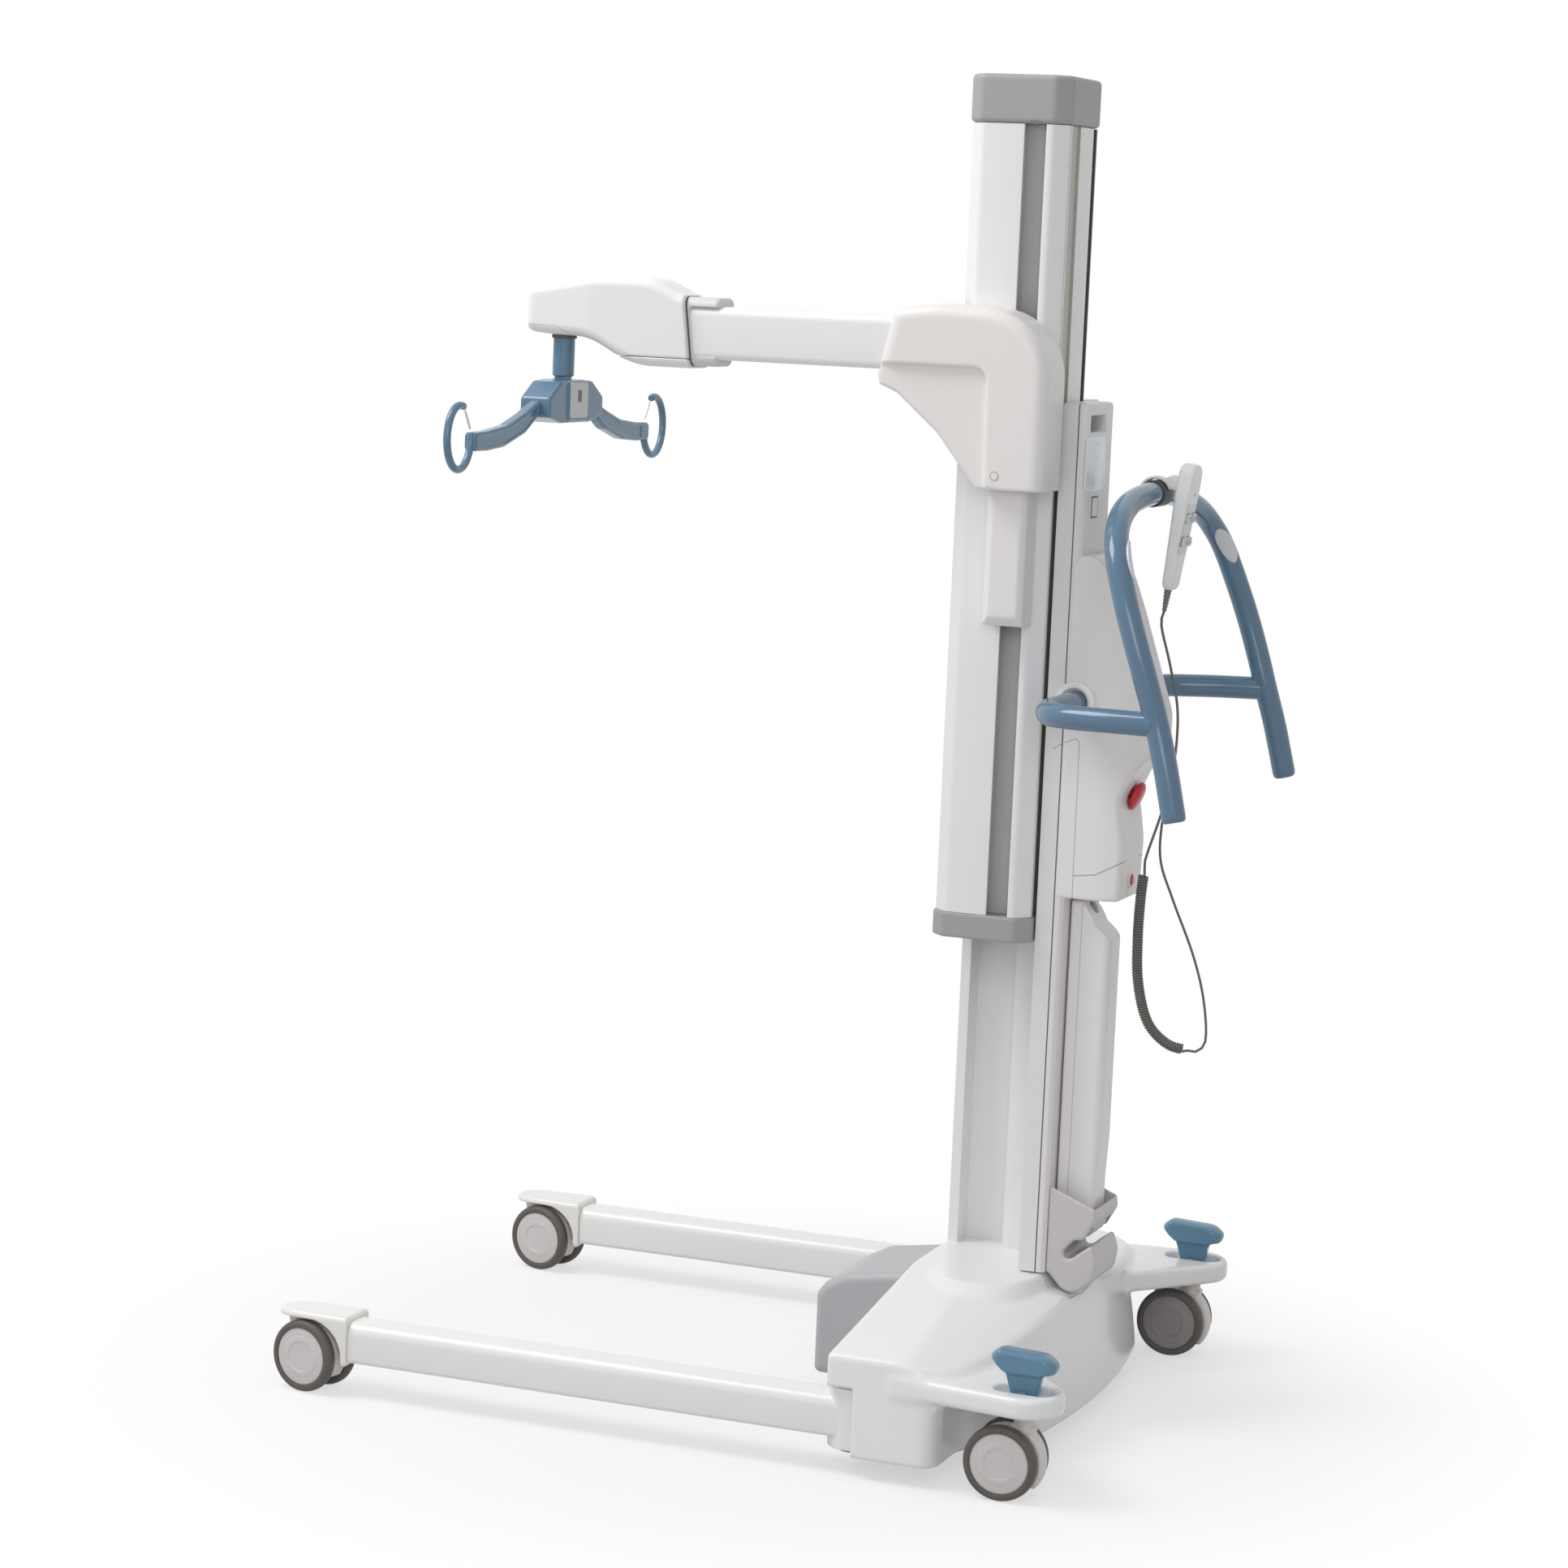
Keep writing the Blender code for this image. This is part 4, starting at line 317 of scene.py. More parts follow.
handset_middle = Vector((-0.006, 0.5005, 1.24))
handset_lean = math.radians(7.4)
handset_half = 0.086
relief_length = 0.03
cord_radius = 0.0018
curl_radius = 0.0056
curl_count = 74
curl_points = 14
curl_lead = 0.009
sweep_reach = 0.014
gland_axis = Vector((0.0, 0.79, -0.61)).normalized()
gland_place = Vector((-0.012, 0.483, 0.921))

lean = Matrix.Rotation(-handset_lean, 3, 'X')
relief_tip = np.array(handset_middle + lean @ Vector((0, 0, -handset_half - relief_length - 0.0003)))
relief_way = np.array(lean @ Vector((0, 0, -1)))
upper_route = smooth_path([relief_tip, relief_tip + 0.02 * relief_way, (-0.002, 0.5, 1.05),
                           (0.004, 0.515, 0.99), (0.009, 0.515, 0.92), (0.012, 0.504, 0.86),
                           (0.012, 0.488, 0.805), (0.012, 0.4832, 0.7875), (0.012, 0.483, 0.7758)],
                          0.01)
coil_axis = smooth_path([(0.012, 0.483, 0.775), (0.013, 0.48, 0.735), (0.013, 0.479, 0.68),
                         (0.012, 0.4825, 0.62), (0.01, 0.498, 0.566), (0.006, 0.526, 0.538),
                         (0.002, 0.556, 0.531)], 0.001)


def curls(axis, lead):
    """Helix round a curved axis: the angle grows evenly with length. The first and the last lead
    metres of the axis stay without curls."""
    length = measured(axis)
    steps = curl_count * curl_points
    middle = read_at(lead + (length[-1] - 2 * lead) * np.arange(steps + 1) / steps, length, axis)
    heading = unit(np.gradient(middle, axis=0))
    side = unit(np.array((1.0, 0.0, 0.0)) - heading * heading[:, :1])
    other = np.cross(heading, side)
    angle = (2 * math.pi * np.arange(steps + 1) / curl_points)[:, None]
    return middle + (side * np.cos(angle) + other * np.sin(angle)) * curl_radius


def sweep(before, after, finish_way):
    """Cubic blend from the end of one line to the start of another: it leaves along the first line
    and arrives along finish_way."""
    start, finish = before[-1], after[0]
    start_way = unit(before[-1] - before[-2])
    t = np.linspace(0, 1, 12)[1:-1, None]
    place = (2 * t ** 3 - 3 * t ** 2 + 1) * start + (3 * t ** 2 - 2 * t ** 3) * finish
    return place + sweep_reach * ((t ** 3 - 2 * t ** 2 + t) * start_way + (t ** 3 - t ** 2) * finish_way)


coil_route = curls(coil_axis, curl_lead)
coil_end = coil_axis[-1]
coil_way = unit(coil_axis[-1] - coil_axis[-2])
gland_tip = np.array(gland_place + gland_axis * 0.0083)
lower_route = smooth_path([coil_end + coil_way * 0.0006, coil_end + coil_way * 0.008,
                           (-0.008, 0.576, 0.545), (-0.016, 0.568, 0.6), (-0.018, 0.549, 0.66),
                           (-0.019, 0.516, 0.733), (-0.019, 0.496, 0.785), (-0.018, 0.496, 0.84),
                           (-0.015, 0.505, 0.885), gland_tip + 0.01 * np.array(gland_axis), gland_tip],
                          0.01)
first_way = unit(coil_route[1] - coil_route[0])
whole_route = np.vstack((upper_route, sweep(upper_route, coil_route, first_way), coil_route,
                         sweep(coil_route, lower_route, coil_way), lower_route))
cord_curve = bpy.data.curves.new("cord_line", 'CURVE')
cord_curve.dimensions = '3D'
cord_curve.bevel_depth = cord_radius
cord_curve.bevel_resolution = 3
cord_curve.use_fill_caps = True
cord_spline = cord_curve.splines.new('POLY')
cord_spline.points.add(len(whole_route) - 1)
cord_spline.points.foreach_set("co", np.column_stack((whole_route, np.ones(len(whole_route)))).ravel())
cord_line = bpy.data.objects.new("cord_line", cord_curve)
bpy.context.scene.collection.objects.link(cord_line)
cord_mesh = bpy.data.meshes.new_from_object(cord_line.evaluated_get(bpy.context.evaluated_depsgraph_get()))
cord_points = np.array([vertex.co for vertex in cord_mesh.vertices])
cord_faces = [tuple(face.vertices) for face in cord_mesh.polygons]
bpy.data.objects.remove(cord_line)
cord = crisp("cord", cord_points, cord_faces, rubbery("cord_jacket", (104, 100, 97), 0.5), None,
             ("cord_upper", "cord_coil", "cord_lower"), 60.0)
whole_route = whole_route + (base_middle, 0.0, 0.0)
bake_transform(cord)


# Studio
# A white floor that fades into a white room, one soft box high in front of the legs and a weaker
# one above the camera's side, so that the faces seen are even and the floor keeps a soft shadow.
def white_rays(tree):
    """1 on the rays that must find pure white, the camera's and those mirrored or let through, and
    0 on the rest: the three light path outputs added and clamped."""
    rays = tree.nodes.new("ShaderNodeLightPath")
    total = rays.outputs["Is Camera Ray"]
    for way in ("Is Glossy Ray", "Is Transmission Ray"):
        plus = tree.nodes.new("ShaderNodeMath")
        plus.use_clamp = True
        tree.links.new(total, plus.inputs[0])
        tree.links.new(rays.outputs[way], plus.inputs[1])
        total = plus.outputs[0]
    return total


room_light = 0.49
floor_half = 15.0
floor_glow = 0.56
floor_dark, floor_pale = (0.62, 0.62, 0.62, 1.0), (0.9, 0.9, 0.9, 1.0)

world = bpy.data.worlds.new("room")
bpy.context.scene.world = world
world.use_nodes = True
room = world.node_tree
shade = room.nodes["Background"]
shade.inputs["Color"].default_value = (1.0, 1.0, 1.0, 1.0)
strength = room.nodes.new("ShaderNodeMath")
strength.operation = 'MULTIPLY_ADD'
strength.inputs[1].default_value = 1.0 - room_light
strength.inputs[2].default_value = room_light
room.links.new(white_rays(room), strength.inputs[0])
room.links.new(strength.outputs[0], shade.inputs["Strength"])


def soft_box(name, place, aim, width, height, power):
    """A rectangular lamp at place that faces aim."""
    lamp = bpy.data.lights.new(name, 'AREA')
    lamp.shape = 'RECTANGLE'
    lamp.size = width
    lamp.size_y = height
    lamp.energy = power
    made = bpy.data.objects.new(name, lamp)
    way = Vector(aim) - Vector(place)
    made.matrix_world = Matrix.Translation(place) @ way.to_track_quat('-Z', 'Y').to_matrix().to_4x4()
    bpy.context.scene.collection.objects.link(made)


soft_box("front_box", (1.2, -2.0, 3.9), (0.0, 0.0, 0.7), 1.9, 1.9, 88.0)
soft_box("side_box", (4.7, 1.5, 2.4), (0.0, 0.0, 0.8), 2.2, 1.8, 38.0)

floor_mesh = bpy.data.meshes.new("floor")
floor_corners = [(u * floor_half, v * floor_half, 0) for u, v in ((-1, -1), (1, -1), (1, 1), (-1, 1))]
floor_mesh.from_pydata(floor_corners, [], [(0, 1, 2, 3)])
floor_board = Board("floor_white", Roughness=0.9, Specular_IOR_Level=0.0)
reach = floor_board.node("ShaderNodeVectorMath", {"operation": 'LENGTH'},
                         {0: floor_board.place()}, out="Value")
fade = floor_board.rise(reach, 0.5, 1.1) * (1.0 - floor_glow) + floor_glow
white_ray = Wire(floor_board, white_rays(floor_board.tree))
floor_board.feed("Base Color", floor_board.blend(white_ray, floor_dark, floor_pale))
bright = floor_board.node("ShaderNodeEmission", None, {"Strength": 1.0})
matt = Wire(floor_board, floor_board.shader.outputs[0])
mixed = floor_board.node("ShaderNodeMixShader", None, {0: fade * white_ray, 1: matt, 2: bright})
floor_board.tree.links.new(mixed.socket, floor_board.tree.nodes["Material Output"].inputs["Surface"])
floor = settle("floor", floor_mesh, floor_board.material, None, ())


# Base cover
# A gloss white moulding, open below: a low roof with an oval platform round the mast's foot, a
# bowed rear wall, and two flat arms that run back over the rear casters in their rooms.
def fillet(corners, steps=6):
    """Closed outline from rows (u, v, radius): each corner becomes an arc that touches both of its
    sides; the arc is a turn from one touching point to the other about its middle."""
    rows = np.array([(*row, 0.0)[:3] for row in corners], dtype=float)
    here, radius = rows[:, :2], rows[:, 2:]
    back = unit(np.roll(here, 1, axis=0) - here)
    ahead = unit(np.roll(here, -1, axis=0) - here)
    half = np.arccos(np.clip((back * ahead).sum(axis=1, keepdims=True), -1, 1)) / 2
    middle = here + unit(back + ahead) * radius / np.sin(half)
    first = here + back * radius / np.tan(half) - middle
    last = here + ahead * radius / np.tan(half) - middle
    turn = np.maximum(math.pi - 2 * half, 1e-6)[:, None]
    t = np.linspace(0, 1, steps + 1)[None, :, None]
    arc = (np.sin((1 - t) * turn) * first[:, None] + np.sin(t * turn) * last[:, None]) / np.sin(turn)
    outline = (middle[:, None] + arc).reshape(-1, 2)
    return outline[np.linalg.norm(outline - np.roll(outline, 1, axis=0), axis=1) > 1e-6]


def flat_field(outline, u, v):
    """Signed distance in a plane from (u, v) to a closed outline: distance to the nearest side,
    negative where a level line to the right crosses the outline an odd number of times."""
    nearest = np.inf
    inside = False
    for (a, b), (c, d) in zip(outline, np.roll(outline, -1, axis=0)):
        run, climb = c - a, d - b
        along = np.clip(((u - a) * run + (v - b) * climb) / (run * run + climb * climb), 0, 1)
        nearest = np.minimum(nearest, (u - a - along * run) ** 2 + (v - b - along * climb) ** 2)
        crossed = (b > v) != (d > v)
        inside = inside ^ (crossed & (u < a + (v - b) * run / (climb if climb else 1e-12)))
    return np.sqrt(nearest) * np.where(inside, -1.0, 1.0)


def both(first, second, edge):
    """The overlap of two bodies with its edge rounded: near the edge the distance is measured from
    the middle of an arc of radius edge."""
    return (np.minimum(-edge, np.maximum(first, second))
            + np.hypot(np.maximum(first + edge, 0), np.maximum(second + edge, 0)))


def either(first, second, fillet_radius):
    """Two bodies joined, with a round fillet in the corner between them."""
    return (np.maximum(fillet_radius, np.minimum(first, second))
            - np.hypot(np.maximum(fillet_radius - first, 0), np.maximum(fillet_radius - second, 0)))


def thick(flat, across, low, high, edge):
    """A flat outline drawn out from low to high, with rounded edges."""
    return both(flat, abs(across - (low + high) / 2) - (high - low) / 2, edge)


def overlap(*fields):
    """The overlap of several bodies with plain edges: the greatest of their distances."""
    least = fields[0]
    for field in fields[1:]:
        least = np.maximum(least, field)
    return least


def arc(middle, radius, start, end, count):
    """Points of an arc between two angles in degrees, both counted."""
    angle = np.radians(np.linspace(start, end, count))
    return np.column_stack((middle[0] + radius * np.cos(angle), middle[1] + radius * np.sin(angle)))


def moulding(name, field, low, high, step, material, body, *nodes):
    """A moulded piece from its field, a distance that is negative inside. Each grid cell that the
    surface crosses gets one point, the mean of the crossings on the cell's edges, moved onto the
    surface down the field's slope; the four cells round a crossed grid edge make a face."""
    axes = [np.arange(a - 1.5 * step, b + 2.5 * step, step) for a, b in zip(low, high)]
    size = [len(axis) for axis in axes]
    value = np.broadcast_to(field(*np.ix_(*axes)), size)
    inside = value < 0
    corners = np.array([(i, j, k) for i in (0, 1) for j in (0, 1) for k in (0, 1)])
    count = sum(inside[tuple(slice(a, n - 1 + a) for n, a in zip(size, corner))].astype(int)
                for corner in corners)
    crossed = (count > 0) & (count < 8)
    cells = np.argwhere(crossed)
    number = np.full(crossed.shape, -1)
    number[crossed] = np.arange(len(cells))
    at = value[tuple(np.moveaxis(cells[:, None, :] + corners, -1, 0))]
    total = np.zeros((len(cells), 3))
    hits = np.zeros((len(cells), 1))
    for start in range(8):
        for axis in range(3):
            if corners[start][axis]:
                continue
            one, two = at[:, start], at[:, start + (4, 2, 1)[axis]]
            cut = (one < 0) != (two < 0)
            part = np.where(cut, one / np.where(cut, one - two, 1), 0)
            spot = corners[start] + part[:, None] * np.eye(3)[axis]
            total += np.where(cut[:, None], spot, 0)
            hits += cut[:, None]
    points = np.array([axis[0] for axis in axes]) + (cells + total / hits) * step
    small = step * 0.05
    for _ in range(3):
        here = field(*points.T)
        slope = np.stack([(field(*(points + small * way).T) - here) / small for way in np.eye(3)], axis=-1)
        move = here[:, None] * slope / np.maximum((slope ** 2).sum(axis=1, keepdims=True), 0.2)
        points = points - np.clip(move, -0.6 * step, 0.6 * step)
    faces = []
    for axis in range(3):
        ahead, beside, above = np.roll(np.eye(3, dtype=int), -axis, axis=0)
        near = inside[tuple(slice(0, n - a) for n, a in zip(size, ahead))]
        far = inside[tuple(slice(a, n) for n, a in zip(size, ahead))]
        spots = np.argwhere(near != far)
        moves = (beside + above, above, 0 * above, beside)
        quad = np.stack([number[tuple((spots - move).T)] for move in moves], axis=-1)
        leaving = near[tuple(spots.T)]
        faces.append(np.where(leaving[:, None], quad, quad[:, ::-1]))
    mesh = bpy.data.meshes.new(name)
    mesh.from_pydata((points + (base_middle, 0.0, 0.0)).tolist(), [], np.vstack(faces).tolist())
    mesh.shade_smooth()
    settle(name, mesh, material, body, nodes)


def moulded(name, colour, roughness=0.38, grain=0.25, finish=None):
    """Moulded plastic: a fine spark-eroded grain, and a slow drift in tone and gloss. finish may
    change the colour wire before it is fed, for seams and printed marks."""
    board = Board(name, IOR=1.48)
    drift = board.noise(5.0, 3.0)
    shown = board.blend(drift, tint(*(0.985 * c for c in colour)), tint(*colour))
    board.feed("Base Color", finish(board, shown) if finish else shown)
    board.feed("Roughness", drift * 0.08 + (roughness - 0.04))
    board.bump(board.noise(1400.0, 2.0, 0.6), grain, 0.00006)
    return board.material


cover_half_x = 0.43
cover_bottom = 0.027
cover_wall = 0.012
front_y, front_fall = 0.2, 0.008
rear_y, rear_bow, rear_lean = 0.449, 0.32, 0.024
oval_y, oval_half_x, oval_half_y, oval_power = 0.31, 0.15, 0.071, 2.6
roof_top, roof_fall = 0.209, 0.029
arm_bottom, arm_top = 0.116, 0.145
rear_stem = (0.4, 0.4725)
pedal_x = 0.404
arm_plan = np.vstack(([(0.24, 0.4066), (0.24, 0.3), (0.4285, 0.3)],
                      arc(rear_stem, 0.0515, 0, 130, 22)))
well_plan = fillet([(0.3, 0.7), (0.3, 0.362, 0.045), (0.7, 0.362), (0.7, 0.7)])


def cover_body(x, y, z, platform):
    """The cover without arms and rooms, open downward: between a front that falls back a little to
    the sides and a parabola at the rear that leans in, under a roof that falls in straight lines to
    the sides and in a curve to the rear; a rounded platform stays at the full height and drops to
    the roof in a smooth step."""
    aside = abs(x)
    behind = np.maximum(0.0, y - 0.3) / 0.125
    ridge = np.minimum(0.2195 - 0.13 * aside, roof_top)
    roof = ridge - roof_fall * np.minimum(behind, 1.25) ** 1.5
    if platform:
        oval = ((aside / oval_half_x) ** oval_power
                + (abs(y - oval_y) / oval_half_y) ** oval_power) ** (1 / oval_power)
        t = np.clip((oval - 0.99) / 0.24, 0, 1)
        roof = roof + (roof_top - roof) * (1 - t * t * (3 - 2 * t))
    front = front_y + front_fall * aside / cover_half_x - y
    rear = y - (rear_y - rear_bow * x * x) + rear_lean * np.clip((z - cover_bottom) / 0.15, 0, 1) ** 1.3
    plan = both(both(aside - cover_half_x, front, 0.008), rear, 0.05)
    return both(plan, z - roof, 0.008)


def cover_field(x, y, z):
    """The whole cover: its body less a room for each rear caster, joined with the flat arms, a notch
    cut below for the legs, a recess for each pedal, and hollowed at wall thickness."""
    aside = abs(x)
    well_flat = flat_field(well_plan, aside, y)
    corner = both(aside - 0.4335, -well_flat, 0.034)
    room = both(-corner, z - arm_bottom, 0.024)
    shell = both(cover_body(x, y, z, True), cover_bottom - z, 0.004)
    shell = both(shell, -room, 0.003)
    shell = either(shell, thick(flat_field(arm_plan, aside, y), z, arm_bottom, arm_top, 0.008), 0.01)
    notch = overlap(0.345 - aside, y - 0.246, z - 0.119)
    shell = both(shell, -notch, 0.002)
    recess = np.hypot(np.maximum(abs(aside - pedal_x) - 0.002, 0),
                      np.maximum(abs(y - 0.472) - 0.022, 0)) - 0.018
    shell = both(shell, -np.maximum(recess, 0.131 - z), 0.003)
    hollow = overlap(cover_body(x, y, z, False) + cover_wall, cover_wall - room, y - 0.42)
    behind_notch = np.maximum(0.333 - aside, y - 0.252)
    return np.maximum(shell, -np.maximum(hollow, -behind_notch))


def foot_seam(board, shown):
    """The seam of the panel in front of the battery holder's foot, as a thin dark line."""
    x, y, z = board.spots()
    line = board.stroke(abs(x), y, [(0.0585, 0.386), (0.06, 0.4), (0.059, 0.414),
                                    (0.052, 0.4215), (0.0, 0.424)])
    top = board.rise(z, 0.17, 0.18)
    return board.blend(board.rise(line, 0.0013, 0.0004) * top * 0.75, shown, tint(120, 122, 126))


shell_white = moulded("shell_white", (241, 239, 236), 0.24, 0.1)
cover_white = moulded("cover_white", (243, 243, 244), 0.22, 0.08, finish=foot_seam)
moulding("base_shell", cover_field, (-0.4515, 0.198, cover_bottom), (0.4515, 0.524, 0.212), 0.0036,
         cover_white, "base", "base_cover")


# Steel frame, motors and slides
# Parts inside the lift that show only from below or when something is moved: a welded and painted
# steel frame, two actuators in plated steel, and black sliding plastic.
home = {node: body for body, nodes in frame["record"]["behaviour"]["bodies"].items() for node in nodes}


def dressed(node, material):
    """The CAD node with its loose triangles merged and its flat faces joined, on its own body."""
    mesh = frame["nodes"][node].data.copy()
    work = bmesh.new()
    work.from_mesh(mesh)
    bmesh.ops.remove_doubles(work, verts=work.verts, dist=0.00002)
    bmesh.ops.dissolve_limit(work, angle_limit=math.radians(0.6), verts=work.verts, edges=work.edges)
    work.to_mesh(mesh)
    work.free()
    mesh.materials.clear()
    mesh.shade_smooth()
    mesh.set_sharp_from_angle(angle=math.radians(32.0))
    settle(node + "_surface", mesh, material, home[node], (node,))


def coated(name, colour, roughness=0.3, peel=0.25, finish=None):
    """Powder coat: the slight orange peel of baked powder, glossy over a smooth metal."""
    board = Board(name, IOR=1.5)
    drift = board.noise(7.0, 2.0)
    shown = board.blend(drift, tint(*(0.98 * c for c in colour)), tint(*colour))
    board.feed("Base Color", finish(board, shown) if finish else shown)
    board.feed("Roughness", board.noise(40.0, 3.0) * 0.06 + (roughness - 0.03))
    board.bump(board.noise(380.0, 2.5, 0.55), peel, 0.00006)
    return board.material


def plated(name, colour, roughness=0.32):
    """Plated steel: drawn lines along the part and cloudy gloss."""
    board = Board(name, Metallic=1.0)
    lines = board.noise(90.0, 3.0, 0.6, (1.0, 1.0, 8.0))
    board.feed("Base Color", board.blend(lines, tint(*(0.85 * c for c in colour)), tint(*colour)))
    board.feed("Roughness", lines * 0.15 + (roughness - 0.07))
    return board.material


zinc = plated("zinc", (190, 190, 192))
black_slide = moulded("black_slide", (44, 44, 46), 0.5)
dressed("base_frame", coated("frame_grey", (150, 150, 150)))
for node, material in (("leg_actuator", zinc), ("lift_actuator", zinc), ("mast_key", black_slide),
                       ("carriage_slider", black_slide)):
    dressed(node, material)


# Legs
# Oblong steel tubes with a white powder coat, welded to round knuckles that turn on the frame's
# pins.
def skin(rings, ends, first):
    """Faces of a grid of points whose rows are closed rings: quads between the rows and, by ends, a
    flat face on the first and on the last row, nothing there when they are open, or quads from the
    last row to the first when they are joined. first is the number of the grid's first point."""
    rows, around = rings.shape[:2]
    here = np.arange(rows * around).reshape(rows, around) + first
    if ends == "joined":
        here = np.vstack((here, here[:1]))
    beside = np.roll(here, -1, axis=1)
    faces = np.stack((here[:-1], beside[:-1], beside[1:], here[1:]), axis=-1).reshape(-1, 4).tolist()
    return faces + ([here[0].tolist(), here[-1].tolist()] if ends == "flat" else [])


def enter(name, rings, material, body, *nodes, ends="flat", sharp=32.0):
    """A crisp piece from one grid of points or from a list of grids."""
    grids = rings if isinstance(rings, list) else [rings]
    points, faces = np.empty((0, 3)), []
    for grid in grids:
        faces += skin(grid, ends, len(points))
        points = np.vstack((points, grid.reshape(-1, 3)))
    crisp(name, points, faces, material, body, nodes, sharp)


def drawn(outline, stations, axis):
    """A flat outline drawn along an axis: the same ring of points at each station. Several
    outlines of one length may be given, one for each station."""
    outline = np.asarray(outline)
    flat = outline if outline.ndim == 3 else np.repeat(outline[None], len(stations), axis=0)
    along = np.broadcast_to(np.asarray(stations, dtype=float)[:, None, None], (*flat.shape[:2], 1))
    return np.concatenate((flat[:, :, :axis], along, flat[:, :, axis:]), axis=2)


def rounded_box(low_u, low_v, high_u, high_v, low_round, high_round, steps=6):
    """A rectangle's outline with one radius at its two lower and one at its two upper corners."""
    return fillet([(low_u, low_v, low_round), (high_u, low_v, low_round),
                   (high_u, high_v, high_round), (low_u, high_v, high_round)], steps)


leg_white = coated("leg_white", (243, 241, 239), 0.3)
leg_x, leg_half = 0.39, 0.03
hinge_x, hinge_y = 0.388, 0.235
sides = (("left", 1.0), ("right", -1.0))
for side, s in sides:
    section = rounded_box(s * leg_x - leg_half, 0.048, s * leg_x + leg_half, 0.104, 0.007, 0.016, 8)
    tube = drawn(section, (-0.4935, -0.3, 0.0, 0.225), 1)
    turn = full_turn(64)
    post = np.array([(0.03, 0.0335), (0.0332, 0.0338), (0.034, 0.035), (0.034, 0.1145),
                     (0.0332, 0.1157), (0.03, 0.116)])
    knuckle = np.stack((s * hinge_x + post[:, :1] * np.cos(turn), hinge_y + post[:, :1] * np.sin(turn),
                        np.repeat(post[:, 1:], 64, axis=1)), axis=-1)
    enter("leg_tube_" + side, [tube, knuckle], leg_white, "leg_" + side, "leg_" + side)


# Leg ends
# Gloss white housings clipped on the tubes' ends; each has a round room for the caster inside and
# an arch in both cheeks.
wheel_radius, wheel_half, wheel_trail = 0.05, 0.033, 0.0225
room_gap = 0.003
front_stem = (leg_x, -0.578)
swing = np.radians(90 - 7.5 * np.arange(13))
width = np.hypot(wheel_trail + wheel_radius * np.cos(swing), wheel_half) + room_gap
height = wheel_radius + wheel_radius * np.sin(swing) + room_gap
room_profile = np.vstack(([(-0.2, height[0])], np.column_stack((width, height)),
                          [(width[-1], -0.05), (-0.2, -0.05)]))
end_half, end_low, end_high = 0.034, 0.042, 0.112
for side, s in sides:
    x0, y0 = s * front_stem[0], front_stem[1]
    plan = np.vstack((arc((x0, y0), 0.031, 180, 360, 25),
                      [(x0 + end_half, -0.53), (x0 + end_half, -0.494), (x0 - end_half, -0.494),
                       (x0 - end_half, -0.53)]))

    def leg_end(x, y, z):
        """A round-ended plan drawn up to a flat top, less the room, a profile turned round the stem."""
        body = thick(flat_field(plan, x, y), z, end_low, end_high, 0.007)
        return both(body, -flat_field(room_profile, np.hypot(x - x0, y - y0), z), 0.0015)

    moulding("leg_end_shell_" + side, leg_end, (x0 - end_half, -0.609, end_low),
             (x0 + end_half, -0.494, end_high), 0.0016, shell_white, "leg_" + side, "leg_end_" + side)


# Casters
# Twin wheels, 100 mm, on a moulded hood with a swivel stem. Each wheel is a dark tyre moulded on a
# nylon rim and closed by a pressed-in cap with two shallow steps; at the far rear caster the caps
# are greyer, with the shadow they lie in painted into their colour.
warm_white = moulded("warm_white", (226, 221, 217), 0.42)
cap_white = moulded("cap_white", (214, 208, 207), 0.4)
# Painted shade: the caps of the far rear caster, darker for the shadow they lie in.
cap_painted_shade = moulded("cap_painted_shade", (150, 146, 144), 0.42)
tyre_rubber = rubbery("tyre_rubber", (92, 87, 84), 0.55)
tyre_profile = np.array([(0.04, 0.0318), (0.0412, 0.0326), (0.044, 0.0328), (0.0468, 0.0318),
                         (0.0486, 0.03), (0.0497, 0.027), (0.05, 0.0235), (0.0497, 0.0195),
                         (0.0485, 0.0165), (0.046, 0.0146), (0.04, 0.0142), (0.0395, 0.02)])
cap_profile = np.array([(0.0, 0.0316), (0.019, 0.0316), (0.0196, 0.0313), (0.0206, 0.0322),
                        (0.0225, 0.0324), (0.03, 0.0319), (0.0306, 0.0316), (0.0312, 0.0319),
                        (0.0385, 0.0309), (0.0398, 0.03), (0.0402, 0.028), (0.0402, 0.016),
                        (0.039, 0.0148), (0.0, 0.0148)])


def turned(profile, middle, axis, count=72):
    """A profile of (radius, height) rows turned round an axis through middle: rings of points."""
    profile = np.array(profile)
    axis = unit(np.array(axis, dtype=float))
    first = unit(np.cross(axis, (0.37, 0.11, 0.92)))
    other = np.cross(axis, first)
    turn = full_turn(count)[None, :, None]
    return (np.array(middle) + profile[:, None, 1:] * axis
            + profile[:, None, :1] * (first * np.cos(turn) + other * np.sin(turn)))


